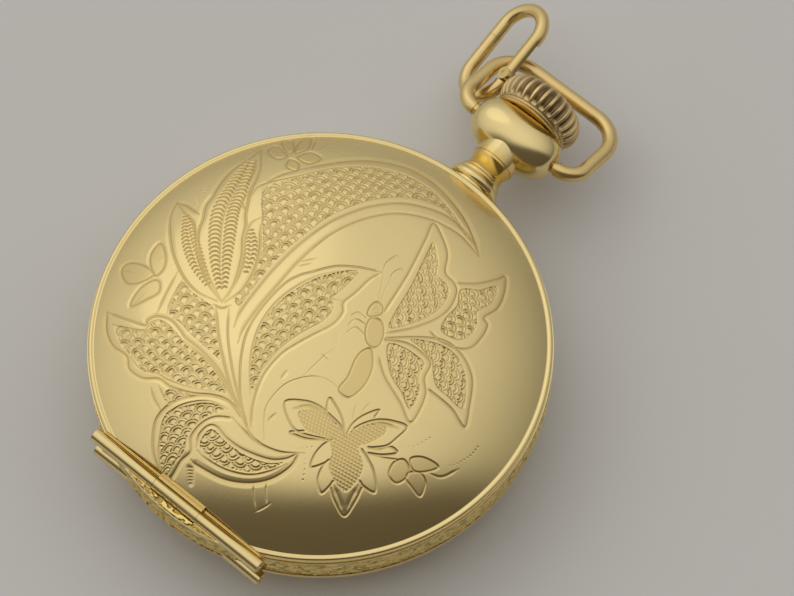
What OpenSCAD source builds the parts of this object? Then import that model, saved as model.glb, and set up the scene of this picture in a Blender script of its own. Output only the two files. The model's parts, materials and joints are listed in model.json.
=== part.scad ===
// Fob watch: a hunter case with two hinged lids, a keyless crown, a bow with a snap ring,
// and a lever movement behind an enamel dial.
// Sizes are in millimetres. The back lid rests on z = 0 and the pendant points along +Y.

/* [Case] */
// Diameter of both lids at the rim
lid_d = 41; // [40.5:0.5:43]
// Height of a lid from its rim to the top of its dome
lid_h = 5.4; // [5.3:0.1:6]
// Thickness of the front lid's sheet
lid_wall = 0.45; // [0.4:0.05:0.5]
// Height of the chased band between the lids
band_h = 3.4; // [3.3:0.1:3.8]
// Depth of the flat that the back lid rests on
rest_cut = 0.2; // [0.15:0.05:0.25]
// Radius of the bead round a lid's rim
lip_r = 0.42; // [0.38:0.02:0.46]
// Distance from a lid's rim in to the edge of the movement
case_wall = 3.7; // [3.6:0.05:3.8]
// Length of each lid hinge
hinge_len = 19; // [17:0.5:20]
// Diameter of the hinge knuckles
knuckle_d = 1.3; // [1.2:0.05:1.4]
// Diameter of the hinge pins
hinge_pin_d = 0.6; // [0.5:0.05:0.7]
// Width of the lid's own knuckle in the middle of its hinge
mid_knuckle = 5; // [4.5:0.25:5.5]

/* [Pendant and crown] */
// Width of the pendant's eared bulb
bulb_w = 9.1; // [8.8:0.1:9.4]
// Diameter of the pendant's plain sleeve
sleeve_d = 4.2; // [4:0.1:4.6]
// Diameter of the pendant's narrow neck
neck_d = 3.6; // [3.4:0.1:3.8]
// Diameter of the fluted crown
crown_d = 8.4; // [8:0.1:8.6]
// Height of the crown
crown_h = 3.7; // [3.6:0.1:3.8]
// Number of flutes round the crown
flutes = 28; // [24:2:32]
// Diameter of the stem
stem_d = 1.1; // [1:0.05:1.15]

/* [Bow and snap ring] */
// Outer width of the bow
bow_w = 14.8; // [14.6:0.1:15]
// Distance from the bow's pivot to its far bar
bow_reach = 7.8; // [7.6:0.1:8]
// Diameter of the bow's wire
bow_wire = 1.4; // [1.3:0.05:1.45]
// Angle of the bow below the plane of the watch, as it lies
bow_droop = 18; // [17:1:20]
// Outer length of the snap ring
ring_len = 11; // [10.8:0.1:11.4]
// Outer width of the snap ring
ring_w = 6; // [5.9:0.1:6.2]
// Diameter of the snap ring's wire
ring_wire = 1.3; // [1.2:0.05:1.35]

/* [Dial and hands] */
// Margin of the plate that the dial leaves free
dial_margin = 0.3; // [0.2:0.05:0.5]
// Thickness of the dial
dial_h = 0.45; // [0.4:0.05:0.5]
// Length of the hour hand from its centre
hour_len = 8.6; // [8:0.2:9.4]
// Length of the minute hand from its centre
minute_len = 12.6; // [12:0.2:13.4]
// Length of the seconds hand from its centre
seconds_len = 3.4; // [3:0.1:3.8]

/* [Movement] */
// Distance from the centre to the seconds axis in a movement of the standard size
seconds_at = 8; // [7.9:0.05:8.1]
// Radius of the balance over its timing screws in a movement of the standard size
balance_rim = 5.9; // [5.6:0.1:6]
// Thickness of the train wheels
wheel_h = 0.2; // [0.16:0.02:0.24]

/* [Hidden] */
$fn = 64;

gold = [0.86, 0.74, 0.42];
deep_gold = [0.8, 0.6, 0.2];
gilt = [0.83, 0.68, 0.38];
steel = [0.7, 0.71, 0.73];
blue = [0.12, 0.18, 0.45];
white = [0.95, 0.95, 0.92];
ruby = [0.7, 0.1, 0.25];
clear = [0.85, 0.92, 0.95, 0.35];

// Clearances: between seated faces, round a turning pin, and between parts that sweep past each other
seat_gap = 0.03;
run_gap = 0.03;
sweep_gap = 0.1;
pivot_gap = 0.02;

// Heights of the case
lid_r = lid_d / 2;
band_r = lid_r + 0.1;
back_z = lid_h - rest_cut;
front_z = back_z + band_h;
mid_z = back_z + band_h / 2;
back_wall = lid_wall + rest_cut - 0.05;

// Two arcs of the lid's dome: a flat one over the middle and a rounder one over the shoulder
dome_r = 0.19269 * lid_d * lid_d / lid_h;
shoulder_r = 0.05782 * lid_d * lid_d / lid_h;
shoulder_at = lid_d * 0.305;
dome_sin = shoulder_at / dome_r;
shoulder_x = (dome_r - shoulder_r) * dome_sin;
shoulder_y = lid_h - dome_r + (dome_r - shoulder_r) * sqrt(1 - dome_sin * dome_sin);

// Rims and collars
skirt_r = lid_r - 1.1;
collar_r = lid_r - 1.5;
back_collar_r = lid_r - 2.3;
collar_up = 0.35;
collar_down = 0.45;
plate_r = lid_r - case_wall;
dial_r = plate_r - dial_margin;
bore_r = plate_r + 0.15;
flange_r = plate_r + 0.4;
flange_bore_r = flange_r + 0.1;
groove_r = flange_bore_r + 0.05;

// Hinges
knuckle_r = knuckle_d / 2;
hinge_y = lid_r - 1.3;
front_hinge_z = front_z - 0.05;
back_hinge_z = back_z + 0.05;
lid_cut_y = hinge_y - knuckle_r - sweep_gap;
lid_edge_wall = 0.5;
cuvette_knuckle = 2;
inner_span = mid_knuckle / 2 + cuvette_knuckle;

// Pendant, measured outward from the band
collar_y = band_r;
neck_y = band_r + 1.5;
sleeve_y = band_r + 3.4;
bulb_y = band_r + 4.7;
pivot_y = band_r + 6.7;
bulb_end_y = band_r + 8.1;
crown_y = bulb_end_y + 0.45;
bulb_r = 2.75;
bulb_power = 2.6;
bulb_steps = 12;
pendant_bore_r = 1.25;
stem_r = stem_d / 2;
crown_r = crown_d / 2;
ear_pin_r = bow_wire / 2 - 0.12;
ear_pin_len = 1.3;

// Bow
bow_half = (bow_w - bow_wire) / 2;
bow_foot_r = 1.9;
bow_corner_r = 3;

// Snap ring: its middle, its tilt, and its parts along its own length
ring_at = [-bow_half - 0.25, pivot_y + 6.85, mid_z - 1.85];
ring_roll = 32;
ring_pitch = 14;
ring_half = (ring_w - ring_wire) / 2;
ring_run = (ring_len - ring_w) / 2;
ring_wire_r = ring_wire / 2;
ring_seam = 0.9;
ring_step = ring_run - 0.3;
ring_pivot = -ring_run + 0.75;
ring_pin_r = 0.25;

// Heights in the movement
plate_z = mid_z - 0.75;
plate_h = 1.7;
plate_top = plate_z + plate_h;
ledge_z = plate_z + 0.55;
train_gap = 2;
bridge_h = 1.1;
bridge_top = plate_z - train_gap;
bridge_z = bridge_top - bridge_h;
bridge_r = plate_r - 2.8;
motion_z = plate_top - 0.6;
dial_z = plate_top + 0.45;
dial_top = dial_z + dial_h;
recess_h = 0.45;

// The movement's wheels and their places grow with the plate, from a standard plate
standard_plate_r = 16.8;
calibre = plate_r / standard_plate_r;
seconds_r = seconds_at * calibre;
seconds_dial_r = 4.6 * calibre;
balance_r = balance_rim * calibre;

// Tooth modules and counts
barrel_m = 0.16 * calibre;
barrel_n = 78;
center_leaves = 12;
center_m = 0.125 * calibre;
center_n = 80;
third_leaves = 10;
third_m = 0.11 * calibre;
third_n = 75;
fourth_leaves = 10;
fourth_m = 0.085 * calibre;
fourth_n = 80;
escape_leaves = 8;
escape_n = 15;
escape_r = 2.4 * calibre;
wind_m = 0.16 * calibre;
ratchet_n = 70;
crown_wheel_n = 45;
contrate_n = 30;
wind_leaves = 12;
cannon_n = 12;
minute_n = 36;
minute_m = 0.2 * calibre;
minute_leaves = 10;
hour_n = 40;
hour_m = minute_m * (cannon_n + minute_n) / (minute_leaves + hour_n);
motion_r = minute_m * (cannon_n / 2 + minute_n + 1.05) + sweep_gap;

// Places of the axes, seen from the front
barrel_turn = 155;
barrel_at = barrel_m * (barrel_n + center_leaves) / 2 * [cos(barrel_turn), sin(barrel_turn)];
fourth_at = [seconds_r, 0];
center_third = center_m * (center_n + third_leaves) / 2;
third_fourth = third_m * (third_n + fourth_leaves) / 2;
third_cos = (pow(center_third, 2) + pow(seconds_r, 2) - pow(third_fourth, 2)) / (2 * center_third * seconds_r);
third_at = center_third * [third_cos, sqrt(1 - third_cos * third_cos)];
escape_turn = -80;
escape_at = fourth_at + fourth_m * (fourth_n + escape_leaves) / 2 * [cos(escape_turn), sin(escape_turn)];
lever_turn = 225;
pallet_at = escape_at + escape_r / cos(30) * [cos(lever_turn), sin(lever_turn)];
lever_len = 4.2 * calibre;
balance_at = pallet_at + lever_len * [cos(lever_turn), sin(lever_turn)];
wheels_sum = wind_m * (ratchet_n + crown_wheel_n) / 2;
crown_wheel_y = barrel_at[1] + sqrt(pow(wheels_sum, 2) - pow(barrel_at[0], 2));
crown_wheel_at = [0, crown_wheel_y];
contrate_r = wind_m * contrate_n / 2;
wind_r = wind_m * wind_leaves / 2;
minute_turn = 250;
minute_at = minute_m * (cannon_n + minute_n) / 2 * [cos(minute_turn), sin(minute_turn)];
click_turn = 215;
click_reach = 6.9 * calibre;
click_at = barrel_at + click_reach * [cos(click_turn), sin(click_turn)];
ratchet_tip = wind_m * (ratchet_n / 2 + 1);

// Pillars that carry the bridges, by bridge
pillar_r = 1.1;
pillar_ring = bridge_r - 1.3;
barrel_pillars = [for (a = [122, 195]) pillar_ring * [cos(a), sin(a)]];
train_pillars = [for (a = [35, -12]) pillar_ring * [cos(a), sin(a)]];
cock_foot = calibre * [-6.2, -8.9];
pallet_foot = pallet_at + calibre * [2.9, -2.6];
// Corner where the train bridge stops short of the balance cock, to the right of the centre and below it
bridge_tail = calibre * [3, 12];
screw_r = 0.45;
screw_head_r = 0.8;
screw_head_h = 0.35;
balance_gap_r = balance_r + 0.35;
jewel_r = 0.6;
jewel_h = 0.4;
pivot_r = 0.12;

// Heights of the wheels
center_wheel_z = bridge_top + 0.15;
third_wheel_z = plate_z - 0.65;
fourth_wheel_z = bridge_top + 0.6;
escape_wheel_z = plate_z - 0.7;
barrel_z = center_wheel_z + wheel_h + 0.15;
barrel_teeth_z = plate_z - 0.65;
balance_z = bridge_z + 0.65;
balance_h = 0.45;
cock_z = bridge_z - 0.3;
cock_h = 0.6;
hairspring_z = cock_z + cock_h + 0.12;

// Angle of the line from a to b
function toward(a, b) = atan2(b[1] - a[1], b[0] - a[0]);

// Outline of a toothed wheel with n teeth: addendum and dedendum in modules, tip and root as shares of the pitch
function tooth_points(n, m, add, ded, tip, root) = [for (i = [0:n - 1], k = [0:3])
    let (pitch = 360 / n, side = [-root, -tip, tip, root][k], r = m * (n / 2 + (k == 1 || k == 2 ? add : -ded)))
    [r * cos((i + side) * pitch), r * sin((i + side) * pitch)]];

// A toothed wheel's outline with a tooth on the line at angle turn
module wheel_outline(n, m, turn) {
    rotate(turn)
        polygon(tooth_points(n, m, 1.05, 1.35, 0.1, 0.28));
}

// A pinion's outline with a gap on the line at angle turn
module pinion_outline(n, m, turn) {
    rotate(turn + 180 / n)
        polygon(tooth_points(n, m, 0.75, 1.6, 0.1, 0.2));
}

// A train wheel with a rim, crossed-out spokes and a hub
module train_wheel(n, m, turn, hub_r, spokes) {
    linear_extrude(wheel_h)
        difference() {
            wheel_outline(n, m, turn);
            difference() {
                circle(m * (n / 2 - 1.35) - 0.4);
                circle(hub_r);
                for (i = [0:spokes - 1])
                    rotate(i * 360 / spokes)
                        translate([0, -0.22])
                            square([m * n / 2, 0.44]);
            }
        }
}

// A turned arbor between two heights, with a finer pivot at each end
module arbor(r, z0, z1, pivot0, pivot1) {
    translate([0, 0, z0])
        cylinder(r = r, h = z1 - z0);
    translate([0, 0, z0 - pivot0])
        cylinder(r = pivot_r, h = z1 - z0 + pivot0 + pivot1);
}

module at(place, z) {
    translate([place[0], place[1], z])
        children();
}

// The area under the dome's outline, drawn in by inset, out to radius r_max
module dome_area(inset, r_max) {
    meet = (dome_r - inset) * dome_sin;
    intersection() {
        translate([0, lid_h - dome_r])
            circle(dome_r - inset);
        square([meet, lid_h]);
    }
    intersection() {
        translate([shoulder_x, shoulder_y])
            circle(shoulder_r - inset);
        translate([meet, 0])
            square([r_max - meet, lid_h]);
    }
}

// A lid standing on its rim at z = 0: domed sheet, beaded rim, straight edge along the hinge
module lid_shell(inset) {
    intersection() {
        rotate_extrude()
            difference() {
                union() {
                    dome_area(0, lid_r - 0.75);
                    translate([lid_r - lip_r, lip_r])
                        circle(lip_r);
                    translate([skirt_r, 0])
                        square([lid_r - lip_r - skirt_r, lip_r]);
                }
                dome_area(inset, skirt_r);
            }
        translate([-lid_d, -lid_cut_y, -1])
            cube([2 * lid_d, 2 * lid_d, lid_h + 2]);
    }
    intersection() {
        rotate_extrude()
            dome_area(inset / 2, skirt_r + 0.2);
        translate([-lid_r, -lid_cut_y, 0])
            cube([lid_d, lid_edge_wall, lid_h]);
    }
}

// The lid's own knuckle, with the leaf that joins it to the lid's straight edge
module lid_knuckle(hinge_z) {
    difference() {
        union() {
            translate([-mid_knuckle / 2 + run_gap, -hinge_y, hinge_z])
                rotate([0, 90, 0])
                    cylinder(r = knuckle_r, h = mid_knuckle - 2 * run_gap);
            translate([-mid_knuckle / 2 + run_gap, -hinge_y, 0.1])
                cube([mid_knuckle - 2 * run_gap, hinge_y - lid_cut_y + 0.25, hinge_z + knuckle_r - 0.1]);
        }
        translate([-mid_knuckle, -hinge_y, hinge_z])
            rotate([0, 90, 0])
                cylinder(r = hinge_pin_d / 2 + run_gap, h = 2 * mid_knuckle);
    }
}

module along_x(y, z, r, x0, x1) {
    translate([x0, y, z])
        rotate([0, 90, 0])
            cylinder(r = r, h = x1 - x0);
}

module along_y(z, r, y0, y1) {
    translate([0, y0, z])
        rotate([-90, 0, 0])
            cylinder(r = r, h = y1 - y0);
}

// Two knuckles of the case, either side of a free span
module case_knuckles(z, span) {
    for (s = [-1, 1])
        difference() {
            along_x(-hinge_y, z, knuckle_r, s > 0 ? span : -hinge_len / 2, s > 0 ? hinge_len / 2 : -span);
            along_x(-hinge_y, z, hinge_pin_d / 2, -hinge_len, hinge_len);
        }
}

module case_middle() {
    color(gold) {
        difference() {
            rotate_extrude()
                polygon([[bore_r, back_z - collar_down], [back_collar_r, back_z - collar_down],
                    [back_collar_r, back_z], [band_r, back_z], [band_r, back_z + 0.3], [band_r - 0.15, back_z + 0.3],
                    [band_r - 0.15, front_z - 0.3], [band_r, front_z - 0.3], [band_r, front_z],
                    [collar_r, front_z], [collar_r, front_z + collar_up], [flange_bore_r, front_z + collar_up],
                    [flange_bore_r, ledge_z], [bore_r, ledge_z], [bore_r, plate_z + 0.05], [groove_r, plate_z + 0.05],
                    [groove_r, plate_z - 0.45], [bore_r, plate_z - 0.45]]);
            // Room for the lids' straight edges and for the knuckles that turn
            translate([-lid_r, -lid_r - lid_cut_y + lid_edge_wall + sweep_gap, front_z])
                cube([lid_d, lid_r, 2]);
            translate([-lid_r, -lid_r - lid_cut_y + lid_edge_wall + sweep_gap, back_z - 2])
                cube([lid_d, lid_r, 2]);
            along_x(-hinge_y, front_hinge_z, knuckle_r + sweep_gap, -mid_knuckle / 2, mid_knuckle / 2);
            along_x(-hinge_y, back_hinge_z, knuckle_r + sweep_gap, -inner_span, inner_span);
            for (s = [-1, 1]) {
                along_x(-hinge_y, front_hinge_z, knuckle_r - 0.05, s > 0 ? 1 : -hinge_len, s > 0 ? hinge_len : -1);
                along_x(-hinge_y, back_hinge_z, knuckle_r - 0.05, s > 0 ? 1 : -hinge_len, s > 0 ? hinge_len : -1);
            }
            // Stem hole, and the slot in the front collar for the two springs
            along_y(mid_z, stem_r + 0.25, 10, lid_d);
            spring_slot();
        }
        case_knuckles(front_hinge_z, mid_knuckle / 2);
        case_knuckles(back_hinge_z, inner_span);
    }
}

slot_in = flange_bore_r + 0.35;
slot_out = slot_in + 0.75;
slot_z = mid_z + stem_r + 0.35;
catch_z = front_z + 0.12;

module ring_arc(r0, r1, h, start, turn) {
    rotate_extrude(angle = turn, start = start)
        translate([r0, 0])
            square([r1 - r0, h]);
}

module spring_slot() {
    translate([0, 0, slot_z])
        ring_arc(slot_in, slot_out, front_z + 2 - slot_z, 25, 130);
    translate([-1.5, slot_out - 0.2, catch_z - 0.05])
        cube([3, 3, 2]);
}

module front_lid() {
    color(gold)
        translate([0, 0, front_z + seat_gap]) {
            lid_shell(lid_wall);
            lid_knuckle(front_hinge_z - front_z - seat_gap);
        }
}

module back_lid() {
    color(gold)
        difference() {
            translate([0, 0, back_z - seat_gap])
                mirror([0, 0, 1]) {
                    lid_shell(back_wall);
                    lid_knuckle(back_z - back_hinge_z - seat_gap);
                }
            translate([-lid_r, -lid_r, -2])
                cube([lid_d, lid_d, 2]);
            for (s = [-1, 1])
                translate([s * (mid_knuckle / 2 + cuvette_knuckle / 2) - cuvette_knuckle / 2 - sweep_gap,
                    -hinge_y, back_z - 1])
                    cube([cuvette_knuckle + 2 * sweep_gap, 2.2, 2]);
        }
}

cuvette_gap = 0.25;
cuvette_h = 0.35;
cuvette_rim_z = back_z - collar_down - seat_gap;

module cuvette() {
    color(gold) {
        intersection() {
            translate([0, 0, back_z])
                mirror([0, 0, 1])
                    rotate_extrude()
                        difference() {
                            dome_area(back_wall + cuvette_gap, skirt_r - 0.5);
                            dome_area(back_wall + cuvette_gap + cuvette_h, skirt_r);
                        }
            translate([-lid_r, -lid_cut_y + lid_edge_wall + sweep_gap, -1])
                cube([lid_d, lid_d, cuvette_rim_z + 1]);
        }
        for (s = [-1, 1])
            difference() {
                union() {
                    along_x(-hinge_y, back_hinge_z, knuckle_r, s > 0 ? mid_knuckle / 2 + run_gap : -inner_span + run_gap,
                        s > 0 ? inner_span - run_gap : -mid_knuckle / 2 - run_gap);
                    translate([s * (mid_knuckle / 2 + cuvette_knuckle / 2) - cuvette_knuckle / 2 + run_gap,
                        -hinge_y, cuvette_rim_z - 0.3])
                        cube([cuvette_knuckle - 2 * run_gap, hinge_y - lid_cut_y + lid_edge_wall + 0.8, 0.3]);
                }
                along_x(-hinge_y, back_hinge_z, hinge_pin_d / 2 + run_gap, -hinge_len, hinge_len);
            }
    }
}

glass_r = flange_bore_r - 0.6;
glass_ball = 150;
glass_h = 0.55;
glass_top = front_z + 2.3;

module glass_body() {
    intersection() {
        translate([0, 0, glass_top - glass_ball])
            difference() {
                sphere(glass_ball);
                sphere(glass_ball - glass_h);
            }
        translate([0, 0, front_z - 2])
            cylinder(r = glass_r, h = 6);
    }
}

module bezel() {
    bezel_z = front_z + collar_up;
    color(gold)
        difference() {
            rotate_extrude()
                polygon([[glass_r - 0.5, bezel_z - 0.15], [flange_bore_r - 0.1, bezel_z - 0.15], [flange_bore_r - 0.1, bezel_z],
                    [collar_r - 0.15, bezel_z], [collar_r - 0.35, bezel_z + 0.25], [glass_r + 0.9, bezel_z + 0.95],
                    [glass_r + 0.4, bezel_z + 1.2], [glass_r - 0.3, bezel_z + 1.2], [glass_r - 0.5, bezel_z + 1.1]]);
            glass_body();
            translate([-lid_r, -lid_r - lid_cut_y + lid_edge_wall + sweep_gap, front_z])
                cube([lid_d, lid_r, 4]);
        }
}

module crystal() {
    color(clear)
        glass_body();
}

module front_hinge_pin() {
    color(deep_gold)
        along_x(-hinge_y, front_hinge_z, hinge_pin_d / 2, -hinge_len / 2 + 0.05, hinge_len / 2 - 0.05);
}

module back_hinge_pin() {
    color(deep_gold)
        along_x(-hinge_y, back_hinge_z, hinge_pin_d / 2, -hinge_len / 2 + 0.05, hinge_len / 2 - 0.05);
}

// A turned profile about the pendant's axis, given as radius against distance along +Y
module turned_along_y() {
    translate([0, 0, mid_z])
        rotate([-90, 0, 0])
            rotate_extrude()
                children();
}

// Outline of the bulb about the bow's pivot line, a rounded barrel with full ends
function bulb_outline() = [for (i = [-bulb_steps:bulb_steps])
    let (along = sin(90 * i / bulb_steps))
    [bulb_r * pow(1 - pow(abs(along), bulb_power), 1 / bulb_power), bulb_w / 2 * along]];

module pendant() {
    roll_r = 0.48;
    bead_r = 0.34;
    hollow_r = 1.3;
    color(gold)
        difference() {
            union() {
                turned_along_y()
                    difference() {
                        union() {
                            translate([0, collar_y - 1.2])
                                square([2.25, 1.7]);
                            translate([2.15, collar_y + 0.55])
                                circle(roll_r);
                            translate([1.95, collar_y + 1.25])
                                circle(bead_r);
                            translate([0, collar_y + 0.4])
                                square([neck_d / 2 + 0.2, sleeve_y - collar_y]);
                            translate([0, sleeve_y])
                                square([sleeve_d / 2, bulb_y - sleeve_y + 1]);
                        }
                        translate([neck_d / 2 + hollow_r, (neck_y + sleeve_y) / 2])
                            circle(hollow_r);
                    }
                difference() {
                    translate([0, pivot_y, mid_z])
                        rotate([0, 90, 0])
                            rotate_extrude()
                                polygon(bulb_outline());
                    translate([-bulb_w, bulb_end_y, 0])
                        cube([2 * bulb_w, bulb_w, 4 * mid_z]);
                }
            }
            cylinder(r = band_r, h = 4 * mid_z);
            along_y(mid_z, pendant_bore_r, collar_y - 2, crown_y);
            along_x(pivot_y, mid_z, ear_pin_r + run_gap, -bulb_w, -bulb_w / 2 + ear_pin_len + 0.1);
            along_x(pivot_y, mid_z, ear_pin_r + run_gap, bulb_w / 2 - ear_pin_len - 0.1, bulb_w);
        }
}

module pendant_sleeve() {
    color(steel)
        difference() {
            along_y(mid_z, pendant_bore_r, collar_y + 0.8, bulb_end_y - 0.6);
            along_y(mid_z, stem_r + 0.1, collar_y, crown_y);
            for (a = [0, 90])
                translate([0, 0, mid_z])
                    rotate([0, a, 0])
                        translate([-2, collar_y, -0.15])
                            cube([4, 2.4, 0.3]);
        }
}

module crown() {
    round_r = 1.6;
    top_r = 9;
    flute_r = 0.3;
    color(gold)
        difference() {
            translate([0, crown_y, mid_z])
                rotate([-90, 0, 0])
                    difference() {
                        rotate_extrude()
                            intersection() {
                                union() {
                                    translate([crown_r - round_r, round_r])
                                        circle(round_r);
                                    translate([0, 0.25])
                                        square([crown_r - round_r, 2 * round_r - 0.25]);
                                    square([crown_r - 0.6, 0.8]);
                                    translate([0, crown_h - top_r])
                                        circle(top_r);
                                }
                                square([crown_r, crown_h]);
                                translate([0, crown_h - top_r])
                                    circle(top_r);
                            }
                        for (i = [0:flutes - 1])
                            rotate(i * 360 / flutes)
                                translate([crown_r - round_r, 0, round_r])
                                    rotate([90, 0, 0])
                                        rotate_extrude(angle = 140, start = -40)
                                            translate([round_r, 0])
                                                circle(flute_r);
                    }
            along_y(mid_z, stem_r, crown_y - 1, crown_y + crown_h - 1.1);
            difference() {
                along_y(mid_z, crown_r - 1.1, crown_y - 1, crown_y + 0.6);
                along_y(mid_z, stem_r + 0.6, crown_y - 2, crown_y + 2);
            }
        }
}

module stem() {
    square_w = 0.7;
    color(steel) {
        along_y(mid_z, stem_r, plate_r - 1.2, crown_y + crown_h - 1.1);
        translate([-square_w / 2, crown_wheel_y + contrate_r - 0.6, mid_z - square_w / 2])
            cube([square_w, plate_r - 1.2 - crown_wheel_y - contrate_r + 0.7, square_w]);
        along_y(mid_z, 0.25, crown_wheel_y + contrate_r - 1.7, crown_wheel_y + contrate_r - 0.5);
    }
}

// Places a shape drawn in the bow's own plane at its pivot, as the bow lies
module bow_place() {
    translate([0, pivot_y, mid_z])
        rotate([-bow_droop, 0, 0])
            children();
}

module wire_bend(r, wire_r, start) {
    rotate_extrude(angle = 90, start = start)
        translate([r, 0])
            circle(wire_r);
}

module bow() {
    wire_r = bow_wire / 2;
    color(gold)
        bow_place() {
            for (s = [0, 1])
                mirror([s, 0, 0]) {
                    along_x(0, 0, ear_pin_r, bulb_w / 2 - ear_pin_len, bow_half - bow_foot_r);
                    translate([bow_half - bow_foot_r, bow_foot_r, 0])
                        wire_bend(bow_foot_r, wire_r, -90);
                    translate([bow_half, 0, 0])
                        along_y(0, wire_r, bow_foot_r, bow_reach - bow_corner_r);
                    translate([bow_half - bow_corner_r, bow_reach - bow_corner_r, 0])
                        wire_bend(bow_corner_r, wire_r, 0);
                }
            along_x(bow_reach, 0, wire_r, -bow_half + bow_corner_r, bow_half - bow_corner_r);
        }
}

// Places a shape drawn in the snap ring's own plane
module ring_place() {
    translate(ring_at)
        rotate([ring_pitch, 0, 0])
            rotate([0, -ring_roll, 0])
                children();
}

module ring_side(x, y0, y1) {
    translate([x, 0, 0])
        along_y(0, ring_wire_r, y0, y1);
}

// Half the wire's thickness on one face of the ring, along the lapped side
module lap_half(up) {
    translate([0, -ring_len, up ? run_gap / 2 : -ring_wire - run_gap / 2])
        cube([ring_w, 2 * ring_len, ring_wire]);
}

module ring_hook() {
    color(gold)
        ring_place()
            difference() {
                union() {
                    ring_side(-ring_half, ring_seam, ring_run);
                    translate([0, ring_run, 0])
                        rotate_extrude(angle = 180)
                            translate([ring_half, 0])
                                circle(ring_wire_r);
                    ring_side(ring_half, ring_step, ring_run);
                    intersection() {
                        union() {
                            ring_side(ring_half, ring_pivot, ring_step);
                            translate([ring_half, ring_pivot, -ring_wire_r])
                                cylinder(r = ring_wire_r, h = ring_wire);
                        }
                        lap_half(true);
                    }
                }
                translate([ring_half, ring_pivot, -1])
                    cylinder(r = ring_pin_r, h = 2);
            }
}

module ring_gate() {
    color(gold)
        ring_place()
            difference() {
                union() {
                    ring_side(-ring_half, -ring_run, ring_seam - seat_gap);
                    translate([0, -ring_run, 0])
                        rotate_extrude(angle = 180, start = 180)
                            translate([ring_half, 0])
                                circle(ring_wire_r);
                    intersection() {
                        union() {
                            ring_side(ring_half, -ring_run, ring_pivot);
                            translate([ring_half, ring_pivot, -ring_wire_r])
                                cylinder(r = ring_wire_r, h = ring_wire);
                        }
                        lap_half(false);
                    }
                }
                translate([ring_half, ring_pivot, -1])
                    cylinder(r = ring_pin_r + run_gap, h = 2);
                // The hook's eye turns in a round seat here
                translate([ring_half, ring_pivot, -run_gap / 2])
                    cylinder(r = ring_wire_r + run_gap, h = 2);
            }
}

module ring_pin() {
    color(deep_gold)
        ring_place()
            translate([ring_half, ring_pivot, -ring_wire_r + 0.05])
                cylinder(r = ring_pin_r, h = ring_wire - 0.1);
}

module lock_spring() {
    strip_in = slot_in + 0.2;
    color(steel) {
        translate([0, 0, slot_z + 0.1])
            ring_arc(strip_in, strip_in + 0.35, front_z + collar_up - slot_z - 0.15, 30, 64);
        translate([-1.2, strip_in + 0.1, catch_z])
            cube([2.4, skirt_r - strip_in - 0.2, 0.18]);
    }
}

module fly_spring() {
    strip_in = slot_in + 0.2;
    color(steel)
        translate([0, 0, slot_z + 0.1])
            ring_arc(strip_in, strip_in + 0.35, front_z + collar_up - slot_z - 0.15, 97, 53);
}

module dial() {
    color(white)
        difference() {
            translate([0, 0, dial_z])
                cylinder(r = dial_r, h = dial_h);
            translate([0, 0, dial_z - 1])
                cylinder(r = 1.05, h = 2);
            at(fourth_at, dial_z - 1)
                cylinder(r = 0.3, h = 2);
            at(fourth_at, dial_top - 0.12)
                cylinder(r = seconds_dial_r, h = 1);
        }
}

hand_h = 0.15;
seconds_hand_z = dial_top + 0.2;
hour_hand_z = dial_top + 0.45;
minute_hand_z = hour_hand_z + 0.4;

// A spade hand along +X: hub, slim stalk, round-shouldered spade and fine tip
module spade(len, hub_r, stalk, spade_r) {
    spade_x = len * 0.68;
    circle(hub_r);
    polygon([[0, -stalk], [spade_x, -stalk * 0.6], [spade_x, stalk * 0.6], [0, stalk]]);
    for (s = [-1, 1])
        translate([spade_x, s * spade_r * 0.62])
            circle(spade_r * 0.66);
    polygon([[spade_x - spade_r * 0.2, -spade_r * 1.2], [spade_x + spade_r * 1.1, -spade_r * 0.75],
        [spade_x + spade_r * 2.1, -0.1], [len, -0.06], [len, 0.06], [spade_x + spade_r * 2.1, 0.1],
        [spade_x + spade_r * 1.1, spade_r * 0.75], [spade_x - spade_r * 0.2, spade_r * 1.2]]);
}

module hour_hand() {
    color(blue)
        translate([0, 0, hour_hand_z])
            rotate(125)
                linear_extrude(hand_h)
                    difference() {
                        spade(hour_len, 1.25, 0.3, 0.85);
                        circle(0.8);
                    }
}

module minute_hand() {
    color(blue)
        translate([0, 0, minute_hand_z])
            rotate(240)
                linear_extrude(hand_h)
                    difference() {
                        spade(minute_len, 1, 0.24, 0.6);
                        circle(0.5);
                    }
}

module seconds_hand() {
    color(blue)
        at(fourth_at, seconds_hand_z)
            rotate(200)
                linear_extrude(0.1)
                    difference() {
                        union() {
                            circle(0.42);
                            polygon([[-1.2, -0.13], [seconds_len, -0.04], [seconds_len, 0.04], [-1.2, 0.13]]);
                        }
                        circle(pivot_r);
                    }
}

train_axes = [third_at, fourth_at, escape_at];

module plate_jewel_holes() {
    for (p = concat(train_axes, [pallet_at, balance_at]))
        at(p, plate_z - 0.1)
            cylinder(r = jewel_r, h = jewel_h + 0.1);
}

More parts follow.
